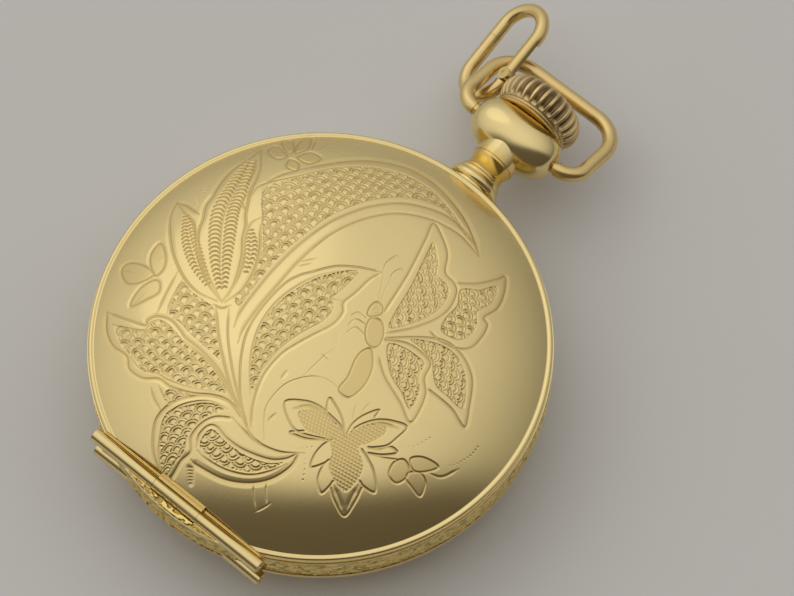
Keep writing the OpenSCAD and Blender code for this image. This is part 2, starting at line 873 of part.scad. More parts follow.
module main_plate() {
    color(gilt) {
        at(minute_at, motion_z - 0.1)
            cylinder(r = 0.25 - run_gap, h = 0.8);
        difference() {
            union() {
                translate([0, 0, plate_z])
                    cylinder(r = plate_r, h = plate_h);
                translate([0, 0, ledge_z])
                    cylinder(r = flange_r, h = plate_top - ledge_z);
            }
            // Recess for the wheels under the dial, and the arbor holes through the plate
            translate([0, 0, motion_z])
                cylinder(r = motion_r, h = 2);
            translate([0, 0, plate_z - 1])
                cylinder(r = 0.7, h = 4);
            at(fourth_at, plate_z - 1)
                cylinder(r = 0.3, h = 4);
            plate_jewel_holes();
            at(barrel_at, plate_z - 1)
                cylinder(r = 0.6 + run_gap, h = 1.5);
            // Winding pinion, stem and the crown wheel's toothed skirt
            translate([-wind_r - 0.35, crown_wheel_y + contrate_r - 0.65, plate_z - 1])
                cube([2 * wind_r + 0.7, 1.3, 4]);
            along_y(mid_z, 0.25 + run_gap, crown_wheel_y + contrate_r - 2.1, lid_r);
            along_y(mid_z, stem_r + 0.06, crown_wheel_y + contrate_r, lid_r);
            at(crown_wheel_at, plate_z - 1)
                cylinder(r = contrate_r + 0.45, h = 1.15);
            for (p = concat(barrel_pillars, train_pillars, [cock_foot, pallet_foot]))
                at(p, plate_z - 1)
                    cylinder(r = screw_r, h = 1.9);
            for (a = [20, 200])
                at((plate_r - 0.75) * [cos(a), sin(a)], plate_z - 1)
                    cylinder(r = screw_r, h = 1.9);
        }
    }
}

// Outline of the bridges between two sides of a line across the movement
module bridge_side(s) {
    split = [2.3, 0.218];
    polygon([[split[0] + split[1] * -20 + s * 0.12, -20], [split[0] + split[1] * 20 + s * 0.12, 20],
        [s * 30, 20], [s * 30, -20]]);
}

module bridge_outline(s) {
    difference() {
        intersection() {
            circle(bridge_r);
            bridge_side(s);
        }
        translate(balance_at)
            circle(balance_gap_r);
    }
}

module pillars(places) {
    for (p = places)
        at(p, bridge_top - 0.05)
            cylinder(r = pillar_r, h = plate_z - bridge_top + 0.05);
}

module screw_holes(places) {
    for (p = places)
        at(p, bridge_z - 1) {
            cylinder(r = screw_r + 0.05, h = 6);
            cylinder(r = screw_head_r + 0.05, h = 1 + screw_head_h + 0.05);
        }
}

module barrel_bridge() {
    color(gilt)
        difference() {
            union() {
                translate([0, 0, bridge_z])
                    linear_extrude(bridge_h)
                        difference() {
                            bridge_outline(-1);
                            translate([-20, -25.6])
                                square([40, 20]);
                        }
                pillars(barrel_pillars);
            }
            screw_holes(barrel_pillars);
            // Sink for the ratchet and crown wheels and the click, then the bearings
            at(barrel_at, bridge_z - 1)
                cylinder(r = ratchet_tip + 0.25, h = 1 + recess_h);
            at(crown_wheel_at, bridge_z - 1)
                cylinder(r = wind_m * (crown_wheel_n / 2 + 1) + 0.25, h = 1 + recess_h);
            at(click_at, bridge_z - 1)
                cylinder(r = 1.9, h = 1 + recess_h);
            at(barrel_at, bridge_z - 1)
                cylinder(r = 0.75 + run_gap, h = 4);
            at(crown_wheel_at, bridge_z - 1)
                cylinder(r = contrate_r + 0.3 + run_gap, h = 4);
            at([0, 0], bridge_z - 1)
                cylinder(r = jewel_r, h = 4);
            at(click_at, bridge_z - 1)
                cylinder(r = 0.3, h = 4);
        }
}

module train_bridge() {
    color(gilt)
        difference() {
            union() {
                translate([0, 0, bridge_z])
                    linear_extrude(bridge_h)
                        difference() {
                            bridge_outline(1);
                            translate([-plate_r, -plate_r])
                                square([plate_r + bridge_tail[0], plate_r - bridge_tail[1]]);
                        }
                pillars(train_pillars);
            }
            screw_holes(train_pillars);
            for (p = train_axes)
                at(p, bridge_z - 1)
                    cylinder(r = jewel_r, h = 4);
        }
}

pallet_bridge_z = plate_z - 1.65;
pallet_bridge_h = 0.6;

module pallet_bridge() {
    color(gilt)
        difference() {
            union() {
                at(pallet_at, pallet_bridge_z)
                    cylinder(r = 0.85, h = pallet_bridge_h);
                at(pallet_foot, pallet_bridge_z)
                    cylinder(r = 1, h = plate_z - pallet_bridge_z);
                at(pallet_at, pallet_bridge_z)
                    rotate(toward(pallet_at, pallet_foot))
                        translate([0, -0.7, 0])
                            cube([norm(pallet_foot - pallet_at), 1.4, pallet_bridge_h]);
            }
            at(pallet_at, pallet_bridge_z - 1)
                cylinder(r = pivot_r + pivot_gap, h = 3);
            at(pallet_foot, pallet_bridge_z - 1) {
                cylinder(r = screw_r + 0.05, h = 4);
                cylinder(r = screw_head_r + 0.02, h = 1.3);
            }
        }
}

module balance_cock() {
    foot_turn = toward(cock_foot, balance_at);
    foot_r = 2.6;
    color(gilt)
        difference() {
            union() {
                at(cock_foot, cock_z)
                    cylinder(r = foot_r, h = plate_z - cock_z);
                at(cock_foot, cock_z)
                    rotate(foot_turn)
                        translate([0, -1.5, 0])
                            cube([norm(balance_at - cock_foot), 3, cock_h]);
                at(balance_at, cock_z)
                    cylinder(r = 1.9, h = cock_h);
                // Stud for the hairspring's outer end
                at(balance_at - [3.1, 0], cock_z)
                    cylinder(r = 0.3, h = cock_h + 0.4);
            }
            at(balance_at, bridge_z - 3)
                difference() {
                    translate([0, 0, 3 + cock_h - 0.3])
                        cylinder(r = balance_gap_r, h = 8);
                    translate([-3.1, 0, 0])
                        cylinder(r = 0.3, h = 10);
                }
            at(balance_at, cock_z - 1)
                cylinder(r = jewel_r, h = 3);
            at(cock_foot, cock_z - 1) {
                cylinder(r = screw_r + 0.05, h = 6);
                cylinder(r = screw_head_r + 0.05, h = 1 + screw_head_h + 0.05);
            }
        }
}

barrel_r = barrel_m * (barrel_n / 2 - 1.35) - 0.1;
barrel_wall = 0.3;
spring_in = 2.1 * calibre;
spring_turns = 8;

module barrel() {
    color(gilt)
        at(barrel_at, 0)
            difference() {
                union() {
                    translate([0, 0, barrel_z])
                        cylinder(r = barrel_r, h = plate_z - 0.1 - barrel_z);
                    translate([0, 0, barrel_teeth_z])
                        linear_extrude(0.5)
                            wheel_outline(barrel_n, barrel_m, toward(barrel_at, [0, 0]));
                }
                translate([0, 0, barrel_z - 1])
                    cylinder(r = barrel_r - barrel_wall, h = plate_z - 0.4 - barrel_z + 1);
                translate([0, 0, plate_z - 1])
                    cylinder(r = 0.6 + run_gap, h = 2);
            }
}

module barrel_cover() {
    color(gilt)
        at(barrel_at, barrel_z)
            difference() {
                cylinder(r = barrel_r - barrel_wall, h = 0.25);
                translate([0, 0, -1])
                    cylinder(r = 0.75 + run_gap, h = 3);
            }
}

module barrel_arbor() {
    color(steel)
        at(barrel_at, 0) {
            translate([0, 0, bridge_z + recess_h])
                cylinder(r = 0.75, h = barrel_z + 0.3 - bridge_z - recess_h);
            translate([0, 0, barrel_z + 0.3])
                cylinder(r = 1.3, h = plate_z - 0.45 - barrel_z - 0.3);
            translate([0, 0, plate_z - 0.45])
                cylinder(r = 0.6, h = 0.85);
        }
}

// A flat spiral of half turns, stepping outward by half a pitch each time
module spiral(r0, pitch, turns, thick, h) {
    for (i = [0:2 * turns - 1])
        translate([i % 2 == 0 ? 0 : pitch / 2, 0, 0])
            rotate_extrude(angle = 180, start = i % 2 == 0 ? 0 : 180)
                translate([r0 + i * pitch / 2 - thick / 2, 0])
                    square([thick, h]);
}

module mainspring() {
    color(steel)
        at(barrel_at, barrel_z + 0.35)
            spiral(spring_in, (barrel_r - barrel_wall - 2 * sweep_gap - spring_in) / spring_turns, spring_turns, 0.16,
                plate_z - 0.5 - barrel_z - 0.35);
}

module ratchet_wheel() {
    color(steel)
        at(barrel_at, bridge_z)
            linear_extrude(0.4)
                difference() {
                    wheel_outline(ratchet_n, wind_m, toward(barrel_at, crown_wheel_at));
                    circle(screw_r);
                }
}

module crown_wheel() {
    skirt_in = contrate_r - 0.3;
    skirt_out = contrate_r + 0.3;
    root_z = mid_z - wind_r - 0.2;
    teeth = [for (i = [0:contrate_n - 1], k = [0:3]) let (a = (i + [-0.2, -0.2, 0.2, 0.2][k]) * 360 / contrate_n)
        (k == 1 || k == 2 ? skirt_out + 0.5 : skirt_in - 0.5) * [cos(a), sin(a)]];
    color(steel)
        at(crown_wheel_at, 0)
            difference() {
                union() {
                    translate([0, 0, bridge_z])
                        linear_extrude(0.4)
                            rotate(180 / crown_wheel_n)
                                wheel_outline(crown_wheel_n, wind_m, toward(crown_wheel_at, barrel_at));
                    translate([0, 0, bridge_z + 0.3])
                        cylinder(r = skirt_out, h = root_z - bridge_z - 0.3);
                    translate([0, 0, root_z - 0.05])
                        linear_extrude(0.33)
                            intersection() {
                                circle(skirt_out);
                                rotate(90 + 180 / contrate_n)
                                    polygon(teeth);
                            }
                }
                translate([0, 0, bridge_z + 0.8])
                    cylinder(r = skirt_in, h = 6);
                translate([0, 0, bridge_z - 1])
                    cylinder(r = screw_r, h = 3);
            }
}

module winding_pinion() {
    color(steel)
        translate([0, crown_wheel_y + contrate_r - 0.5, mid_z])
            rotate([-90, 0, 0])
                linear_extrude(1)
                    difference() {
                        pinion_outline(wind_leaves, wind_m, 90 + 180 / wind_leaves);
                        square(0.7 + 2 * pivot_gap, center = true);
                    }
}

module click() {
    reach = norm(barrel_at - click_at) - ratchet_tip - 0.03;
    color(steel)
        at(click_at, bridge_z)
            difference() {
                linear_extrude(0.4)
                    rotate(toward(click_at, barrel_at))
                        union() {
                            circle(0.75);
                            polygon([[0, -0.75], [reach * 0.7, -0.45], [reach, -0.1], [reach - 0.06, 0.25], [0.3, 0.7]]);
                        }
                translate([0, 0, -1])
                    cylinder(r = screw_r + run_gap, h = 3);
            }
}

module click_spring() {
    color(steel)
        at(click_at, bridge_z + recess_h - 0.3)
            ring_arc(1.35, 1.5, 0.3, 120, 170);
}

module center_wheel() {
    leaf_z = plate_z - 0.8;
    color(gilt) {
        translate([0, 0, center_wheel_z])
            train_wheel(center_n, center_m, toward([0, 0], third_at), 0.9, 5);
        translate([0, 0, leaf_z])
            linear_extrude(0.75)
                pinion_outline(center_leaves, barrel_m, toward([0, 0], barrel_at));
        arbor(0.5, center_wheel_z, plate_z, bridge_h - 0.1 + 0.15, 0);
        translate([0, 0, plate_z - 0.05])
            cylinder(r = 0.5, h = motion_z - plate_z);
        translate([0, 0, motion_z - 0.05])
            cylinder(r = 0.3, h = minute_hand_z + hand_h - motion_z - 0.05);
    }
}

module third_wheel() {
    color(gilt)
        at(third_at, 0) {
            translate([0, 0, third_wheel_z])
                train_wheel(third_n, third_m, toward(third_at, fourth_at), 0.75, 5);
            translate([0, 0, bridge_top + 0.05])
                linear_extrude(0.5)
                    pinion_outline(third_leaves, center_m, toward(third_at, [0, 0]));
            arbor(0.3, bridge_top + 0.05, plate_z - 0.05, bridge_h - 0.1, jewel_h);
        }
}

module fourth_wheel() {
    color(gilt)
        at(fourth_at, 0) {
            translate([0, 0, fourth_wheel_z])
                train_wheel(fourth_n, fourth_m, toward(fourth_at, escape_at), 0.7, 5);
            translate([0, 0, third_wheel_z - 0.15])
                linear_extrude(0.55)
                    pinion_outline(fourth_leaves, third_m, toward(fourth_at, third_at));
            arbor(0.3, bridge_top + 0.05, plate_z - 0.05, bridge_h - 0.1, seconds_hand_z + 0.1 - plate_z + 0.05);
        }
}

module escape_wheel() {
    teeth = [for (i = [0:escape_n - 1], k = [0:3]) let (p = 360 / escape_n, a = (i + [0.1, 0.42, 0.5, 0.62][k]) * p,
        r = escape_r * [0.76, 0.97, 1, 0.76][k]) r * [cos(a), sin(a)]];
    color(steel)
        at(escape_at, 0) {
            translate([0, 0, escape_wheel_z])
                linear_extrude(wheel_h)
                    difference() {
                        polygon(teeth);
                        difference() {
                            circle(escape_r * 0.66);
                            circle(0.5);
                            for (i = [0:3])
                                rotate(i * 90)
                                    translate([0, -0.15])
                                        square([escape_r * 0.7, 0.3]);
                        }
                    }
            translate([0, 0, fourth_wheel_z - 0.1])
                linear_extrude(0.45)
                    pinion_outline(escape_leaves, fourth_m, toward(escape_at, fourth_at));
            arbor(0.2, bridge_top + 0.05, plate_z - 0.05, bridge_h - 0.1, jewel_h);
        }
}

module pallet_fork() {
    fork_z = escape_wheel_z;
    reach = escape_r * tan(30);
    notch = lever_len - 0.95;
    color(steel)
        at(pallet_at, 0) {
            translate([0, 0, fork_z])
                linear_extrude(wheel_h)
                    rotate(toward(pallet_at, escape_at)) {
                        circle(0.42);
                        for (s = [0, 1])
                            mirror([0, s])
                                rotate(60)
                                    translate([0, 0.08])
                                        square([reach + 0.25, 0.34]);
                        difference() {
                            union() {
                                translate([-notch + 0.2, -0.14])
                                    square([notch, 0.28]);
                                translate([-notch - 0.25, -0.45])
                                    square([0.6, 0.9]);
                            }
                            translate([-notch - 0.45, -0.2])
                                square([0.6, 0.4]);
                        }
                    }
            arbor(0.16, pallet_bridge_z + pallet_bridge_h + 0.03, plate_z - 0.05, pallet_bridge_h - 0.1, jewel_h);
        }
    color(ruby)
        at(pallet_at, fork_z - 0.06)
            linear_extrude(wheel_h + 0.12)
                rotate(toward(pallet_at, escape_at))
                    for (s = [0, 1])
                        mirror([0, s])
                            rotate(60)
                                translate([reach - 0.1, 0.04])
                                    square([0.24, 0.5]);
}

module balance_wheel() {
    rim_r = balance_r - 0.4;
    color(gilt)
        at(balance_at, balance_z) {
            difference() {
                union() {
                    difference() {
                        cylinder(r = rim_r, h = balance_h);
                        translate([0, 0, -1])
                            cylinder(r = rim_r - 0.55, h = 3);
                    }
                    translate([-rim_r + 0.3, -0.45, 0.1])
                        cube([2 * rim_r - 0.6, 0.9, balance_h - 0.2]);
                    cylinder(r = 0.8, h = balance_h);
                    for (i = [0:13])
                        rotate(i * 360 / 14 + 12)
                            translate([rim_r - 0.2, 0, balance_h / 2])
                                rotate([0, 90, 0])
                                    cylinder(r = balance_h / 2 - 0.02, h = 0.6);
                }
                translate([0, 0, -1])
                    cylinder(r = 0.35, h = 3);
            }
        }
}

module balance_staff() {
    roller_z = escape_wheel_z - 0.4;
    color(steel)
        at(balance_at, 0) {
            translate([0, 0, hairspring_z - 0.05])
                cylinder(r = 0.35, h = plate_z - 0.1 - hairspring_z);
            translate([0, 0, cock_z + 0.1])
                cylinder(r = pivot_r, h = plate_z + jewel_h - 0.05 - cock_z - 0.1);
            translate([0, 0, roller_z])
                cylinder(r = 1.1, h = 0.2);
            rotate(toward(balance_at, pallet_at))
                translate([0.85, 0, roller_z + 0.1])
                    cylinder(r = 0.12, h = 0.25);
        }
}

module hairspring() {
    color(blue)
        at(balance_at, hairspring_z)
            spiral(0.6, 0.26, 9, 0.06, 0.14);
}

module regulator() {
    color(steel)
        at(balance_at, cock_z - 0.2)
            linear_extrude(0.18)
                difference() {
                    union() {
                        circle(1.35);
                        rotate(toward(balance_at, cock_foot))
                            polygon([[0, -0.3], [3.9, -0.08], [3.9, 0.08], [0, 0.3]]);
                        rotate(toward(balance_at, cock_foot) + 150)
                            translate([0, -0.25])
                                square([1.75, 0.5]);
                    }
                    circle(jewel_r + 0.1);
                }
}

module jewel(z) {
    translate([0, 0, z])
        difference() {
            cylinder(r = jewel_r, h = jewel_h);
            translate([0, 0, -1])
                cylinder(r = pivot_r + pivot_gap, h = 3);
        }
}

module jewels() {
    color(ruby) {
        for (p = concat(train_axes, [pallet_at, balance_at]))
            at(p, 0)
                jewel(plate_z);
        for (p = concat(train_axes, [[0, 0]]))
            at(p, 0)
                jewel(bridge_z + 0.1);
        at(balance_at, 0)
            jewel(cock_z + 0.1);
    }
}

module cannon_pinion() {
    color(steel)
        difference() {
            union() {
                translate([0, 0, motion_z + 0.1])
                    linear_extrude(0.4)
                        pinion_outline(cannon_n, minute_m, toward([0, 0], minute_at));
                translate([0, 0, motion_z + 0.1])
                    cylinder(r = 0.5, h = minute_hand_z + hand_h - motion_z - 0.1);
            }
            translate([0, 0, motion_z - 1])
                cylinder(r = 0.3, h = 8);
        }
}

module minute_wheel() {
    color(gilt)
        at(minute_at, 0)
            difference() {
                union() {
                    translate([0, 0, motion_z + 0.15])
                        train_wheel(minute_n, minute_m, toward(minute_at, [0, 0]), 1.1, 5);
                    translate([0, 0, motion_z + 0.15 + wheel_h])
                        linear_extrude(0.45)
                            pinion_outline(minute_leaves, hour_m, toward(minute_at, [0, 0]));
                    translate([0, 0, motion_z + 0.1])
                        cylinder(r = 0.5, h = 0.3);
                }
                translate([0, 0, motion_z - 1])
                    cylinder(r = 0.25, h = 3);
            }
}

module hour_wheel() {
    tube_z = motion_z + 0.53;
    color(gilt)
        difference() {
            union() {
                translate([0, 0, motion_z + 0.55])
                    train_wheel(hour_n, hour_m, toward([0, 0], minute_at), 1.3, 5);
                translate([0, 0, tube_z])
                    cylinder(r = 0.8, h = hour_hand_z + hand_h - tube_z);
            }
            translate([0, 0, motion_z - 1])
                cylinder(r = 0.5 + run_gap, h = 8);
        }
}

module slotted_screw(head_z, tip_z) {
    difference() {
        union() {
            translate([0, 0, head_z])
                cylinder(r = screw_head_r, h = screw_head_h);
            translate([0, 0, head_z + 0.1])
                cylinder(r = screw_r, h = tip_z - head_z - 0.1);
        }
        translate([-2, -0.1, head_z - 1])
            cube([4, 0.2, 1.15]);
    }
}

module bridge_screws() {
    color(blue) {
        for (p = concat(barrel_pillars, train_pillars))
            at(p, 0)
                rotate(37 * p[0])
                    slotted_screw(bridge_z + 0.05, plate_z + 0.85);
        at(cock_foot, 0)
            rotate(20)
                slotted_screw(cock_z + 0.05, plate_z + 0.85);
        at(pallet_foot, 0)
            rotate(70)
                slotted_screw(pallet_bridge_z - 0.05, plate_z + 0.85);
    }
}

module ratchet_screw() {
    color(blue)
        at(barrel_at, 0)
            rotate(40)
                wheel_screw(1.5);
}

module crown_wheel_screw() {
    color(blue)
        at(crown_wheel_at, 0)
            rotate(110)
                wheel_screw(1.2);
}

module click_screw() {
    color(blue)
        at(click_at, 0) {
            wheel_screw(0.65);
            translate([0, 0, bridge_z + recess_h - 0.05])
                cylinder(r = 0.3, h = bridge_h - recess_h);
        }
}

module wheel_screw(head_r) {
    difference() {
        union() {
            translate([0, 0, bridge_z - 0.25])
                cylinder(r = head_r, h = 0.25);
            translate([0, 0, bridge_z - 0.1])
                cylinder(r = screw_r, h = 0.1 + recess_h);
        }
        translate([-3, -0.12, bridge_z - 1.25])
            cube([6, 0.24, 1.12]);
    }
}

module case_screws() {
    color(blue)
        for (a = [20, 200])
            at((plate_r - 0.75) * [cos(a), sin(a)], 0)
                rotate(a + 30)
                    slotted_screw(plate_z - screw_head_h, plate_z + 0.85);
}

case_middle();
front_lid();
back_lid();
cuvette();
bezel();
crystal();
front_hinge_pin();
back_hinge_pin();
pendant();
pendant_sleeve();
crown();
stem();
bow();
ring_hook();
ring_gate();
ring_pin();
lock_spring();
fly_spring();
dial();
hour_hand();
minute_hand();
seconds_hand();
main_plate();
barrel_bridge();
train_bridge();
pallet_bridge();
balance_cock();
barrel();
barrel_cover();
barrel_arbor();
mainspring();
ratchet_wheel();
crown_wheel();
winding_pinion();
click();
click_spring();
center_wheel();
third_wheel();
fourth_wheel();
escape_wheel();
pallet_fork();
balance_wheel();
balance_staff();
hairspring();
regulator();
jewels();
cannon_pinion();
minute_wheel();
hour_wheel();
bridge_screws();
ratchet_screw();
crown_wheel_screw();
click_screw();
case_screws();
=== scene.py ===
import json
import math

import bpy
import numpy as np
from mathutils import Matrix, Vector


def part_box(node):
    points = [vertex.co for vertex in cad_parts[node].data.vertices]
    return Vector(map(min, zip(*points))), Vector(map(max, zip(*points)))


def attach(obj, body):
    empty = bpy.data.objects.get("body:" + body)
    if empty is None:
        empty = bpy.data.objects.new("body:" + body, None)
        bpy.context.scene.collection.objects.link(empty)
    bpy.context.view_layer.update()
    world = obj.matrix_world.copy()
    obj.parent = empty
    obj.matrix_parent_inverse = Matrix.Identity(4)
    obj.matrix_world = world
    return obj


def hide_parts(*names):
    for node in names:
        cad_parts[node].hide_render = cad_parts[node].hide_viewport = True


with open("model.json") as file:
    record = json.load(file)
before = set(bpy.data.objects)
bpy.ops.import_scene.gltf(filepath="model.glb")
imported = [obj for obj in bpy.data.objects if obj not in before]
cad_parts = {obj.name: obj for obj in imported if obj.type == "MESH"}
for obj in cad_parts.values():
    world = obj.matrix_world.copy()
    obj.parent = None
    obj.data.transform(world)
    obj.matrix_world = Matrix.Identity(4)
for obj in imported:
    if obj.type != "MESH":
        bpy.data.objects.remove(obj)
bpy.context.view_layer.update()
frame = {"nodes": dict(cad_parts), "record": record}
nodes = frame["nodes"]

# Sizes are in millimetres, and the frame's boxes in metres
MM = 0.001

# Front lid: its dome of two arcs, as shares of its width, its rolled edge and its hinge
LID_R = (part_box("front_lid")[1].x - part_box("front_lid")[0].x) / 2 / MM
LID_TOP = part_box("front_lid")[1].z / MM
LID_H = 5.4
LID_Z = LID_TOP - LID_H
LID_WALL = 0.45
DOME_R = 2 * LID_R * 1.463
SHOULDER_R = 2 * LID_R * 0.439
SHOULDER_AT = 2 * LID_R * 0.305
CREASE_R = LID_R - 0.5
EDGE_R = 0.26
EDGE_Z = 0.34
EDGE_TURN = 115
EDGE_BEVEL = 0.08
SKIRT_R = LID_R - 1.1
HINGE_Y = LID_R - 1.3
HINGE_Z = (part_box("front_hinge_pin")[0].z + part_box("front_hinge_pin")[1].z) / 2 / MM
HINGE_CLEARANCE = 0.1
KNUCKLE_R = 0.65
KNUCKLE_HALF = 2.47
LID_CUT_Y = HINGE_Y - KNUCKLE_R - HINGE_CLEARANCE
LID_EDGE_WALL = 0.5
LEAF_END_Y = -LID_CUT_Y + 0.2
LEAF_H = 0.4

# Winding crown: a rounded flank with flutes, between angles of its round in degrees
CROWN_ROUND = 1.6
CROWN_FLANK = (-58, 84)
CROWN_SKIRT = 0.6
CROWN_HEM = ((0.25, -0.06), (0.05, 0.06), (0, 0.22))
CROWN_BORE = 2.7
FLUTES = 28
FLUTE_DEPTH = 0.34
FLUTE_WIDTH = 0.72
FLUTE_POWER = 0.6
FLUTE_TONE = 1.25
FLUTE_SHINE = 0.2
FLUTE_START = -50
FLUTE_FADE_IN = 14
FLUTE_END = 82
FLUTE_FADE_OUT = 16

# Case band, and the shelf behind the front hinge
BAND_R = LID_R + 0.1
BAND_DEPTH = 0.15
BAND_SKIN = 0.01
BAND_Z0 = 5.5
BAND_Z1 = 8.3
SHELF_Z = 8.6
SHELF_IN = 19.9
SHELF_OUT = BAND_R - 0.05
SHELF_HALF = 5.0
SHELF_SKIN = 0.005
SHELF_RELIEF = 0.13

# Pendant, outward from the band: steps as radius, start and end, and rolls as radius, place and own radius
PENDANT_SPAN = (-0.6, 6)
PENDANT_STEPS = ((2.25, -1.2, 0.5), (2.0, 0.4, 3.8), (2.1, 3.4, 5.7))
PENDANT_ROLLS = ((2.15, 0.55, 0.48), (1.95, 1.25, 0.34))
# Zone of the pendant, outward from the band, painted richer as painted shade
PENDANT_SHADE = (0.7, 4.2)
PENDANT_NECK_R = 1.8
PENDANT_HOLLOW_R = 1.3
PENDANT_HOLLOW_AT = 2.45
BULB_R = 2.75
BULB_POWER = 2.6
BULB_END = 8.5
BULB_EYE_R = 0.001
PIVOT_AT = 6.7

# Smallest radius of a turned shape at its axis, and the angle past which an edge stays crisp
EYE_R = 0.02
SHARP = math.radians(32)

# The photograph's view: direction, distance, scale at the lid's rim, and where the lid's centre lies in it
FRAME_W = 794
FRAME_H = 596
VIEW_AZIMUTH = math.radians(40)
VIEW_ELEVATION = math.radians(66.6)
VIEW_DISTANCE = 325.0
PIXELS_PER_MM = 11.34
LID_CENTRE_PX = (320.5, 341.5)
RIM_Z = LID_Z + 0.42
SENSOR_W = 36.0


def view_axes():
    """Right, up and back vectors of the photograph's camera."""
    a, e = VIEW_AZIMUTH, VIEW_ELEVATION
    right = np.array([math.cos(a), math.sin(a), 0])
    up = np.array([-math.sin(a) * math.sin(e), math.cos(a) * math.sin(e), math.cos(e)])
    back = np.array([math.sin(a) * math.cos(e), -math.cos(a) * math.cos(e), math.sin(e)])
    return right, up, back


RIGHT, UP, BACK = view_axes()
AIM = (np.array([0, 0, RIM_Z])
       + RIGHT * (FRAME_W / 2 - LID_CENTRE_PX[0]) / PIXELS_PER_MM
       + UP * (LID_CENTRE_PX[1] - FRAME_H / 2) / PIXELS_PER_MM)
EYE = AIM + BACK * VIEW_DISTANCE
FOCAL_PX = PIXELS_PER_MM * VIEW_DISTANCE


def dome_height(r, inset=0.0):
    """Height of the lid's dome over its rim plane at radius r, drawn in by inset."""
    sine = SHOULDER_AT / DOME_R
    centre_x = (DOME_R - SHOULDER_R) * sine
    centre_z = LID_H - DOME_R + (DOME_R - SHOULDER_R) * math.sqrt(1 - sine * sine)
    flat = LID_H - DOME_R + np.sqrt(np.maximum((DOME_R - inset) ** 2 - r ** 2, 0))
    round_r = SHOULDER_R - inset
    round_z = centre_z + np.sqrt(np.maximum(round_r ** 2 - (r - centre_x) ** 2, 0))
    return np.where(r < (DOME_R - inset) * sine, flat, round_z)


def on_lid(points):
    """Carries points of the photograph's frame along the camera's rays on to the dome, as x and y."""
    p = np.asarray(points, float).reshape(-1, 2)
    ray = (RIGHT * ((p[:, :1] - FRAME_W / 2) / FOCAL_PX)
           + UP * ((FRAME_H / 2 - p[:, 1:]) / FOCAL_PX) - BACK)
    z = np.full(len(p), LID_TOP)
    # Each pass brings the ray's end closer to the dome
    for _ in range(6):
        hit = EYE + ray * ((z - EYE[2]) / ray[:, 2])[:, None]
        r = np.minimum(np.hypot(hit[:, 0], hit[:, 1]), CREASE_R)
        z = LID_Z + dome_height(r)
    return hit[:, :2]


def make_camera():
    data = bpy.data.cameras.new("camera")
    data.sensor_width = SENSOR_W
    data.lens = SENSOR_W * FOCAL_PX / FRAME_W
    data.clip_start = 0.01
    data.clip_end = 20
    camera = bpy.data.objects.new("camera", data)
    bpy.context.scene.collection.objects.link(camera)
    camera.location = Vector(EYE * MM)
    camera.rotation_mode = "QUATERNION"
    camera.rotation_quaternion = Vector(-BACK).to_track_quat("-Z", "Y")
    bpy.context.scene.camera = camera


def sheet(points, closed=False):
    """Points and quads of a grid of points, rows by columns, joined end to end along each row if closed."""
    rows, cols = points.shape[:2]
    index = np.arange(rows * cols).reshape(rows, cols)
    if closed:
        index = np.hstack([index, index[:, :1]])
    quads = np.stack([index[:-1, :-1], index[:-1, 1:], index[1:, 1:], index[1:, :-1]], -1).reshape(-1, 4)
    return points.reshape(-1, 3), quads


def joined(parts):
    """One list of points and quads from several."""
    points, quads, count = [], [], 0
    for p, q in parts:
        points.append(p)
        quads.append(q + count)
        count += len(p)
    return np.vstack(points), np.vstack(quads)


def quad_object(name, verts, quads, smooth=True):
    """A mesh of quads through millimetre points."""
    mesh = bpy.data.meshes.new(name)
    mesh.vertices.add(len(verts))
    mesh.vertices.foreach_set("co", (np.asarray(verts) * MM).astype(np.float32).ravel())
    mesh.loops.add(quads.size)
    mesh.loops.foreach_set("vertex_index", quads.astype(np.int32).ravel())
    mesh.polygons.add(len(quads))
    mesh.polygons.foreach_set("loop_start", np.arange(0, quads.size, 4, dtype=np.int32))
    mesh.polygons.foreach_set("use_smooth", np.full(len(quads), smooth))
    mesh.update(calc_edges=True)
    mesh.validate()
    obj = bpy.data.objects.new(name, mesh)
    bpy.context.scene.collection.objects.link(obj)
    return obj


def set_tone(obj, values):
    """Stores each point's tone, from 0, polished, to 1, matted, for the metals to read; on the chased band
    the tone darkens the low spots as painted shade and tarnish.
    """
    attribute = obj.data.attributes.new("tone", "FLOAT", "POINT")
    attribute.data.foreach_set("value", np.asarray(values).astype(np.float32).ravel())


# Engraving, kept as a raster of depth and tone over the lid's plane
CELL = 0.04
SIDE = int(2 * LID_R / CELL) + 1
CURVE_STEPS = 24

# A graver's line: width and depth for the size asked for, its thinnest end, and the bevel beside a bold one
GRAVER_WIDTH = 1.3
GRAVER_DEPTH = 1.5
LINE_TONE = 0.55
THIN_END = 0.25
BOLD = 0.1
BEVEL_WIDTH = 2.7
BEVEL_DEPTH = 0.8

# Fish-scale fans: rows that reach a point, rise of a row for a fan's width, and the fans' cut arcs
FAN_ROWS = 5
FAN_RISE = 0.38
FAN_EDGE = 1.04
FAN_ARCS = (0.88, 0.5)
ARC_HALF = 0.17
ARC_DEPTH = 0.065
ARC_DEPTH_SPREAD = 0.04
ARC_TONE = 0.7
FAN_FOOT = -0.16
FAN_FADE = 0.2
FAN_SINK = 0.015
FAN_SLOPE = 0.05
FAN_TONE = 0.06

# Hatching: half width of a line for the gap between lines, and depth and tone of the ground and the lines
HATCH_HALF = 0.3
HATCH_SINK = 0.02
HATCH_DEPTH = 0.03
HATCH_GROUND = 0.2
HATCH_TONE = 0.5

# Arched ribs beside a spine: turn of an arch, its place and half width for the reach, and the cut
RIB_TURN = np.radians(np.linspace(10, 165, 30))
RIB_TAPER = 0.35
RIB_AT = 0.56
RIB_HALF = 0.42
RIB_ARCH = 0.75
RIB_CUT = (0.1, 0.085)
RIB_TONE = 0.9


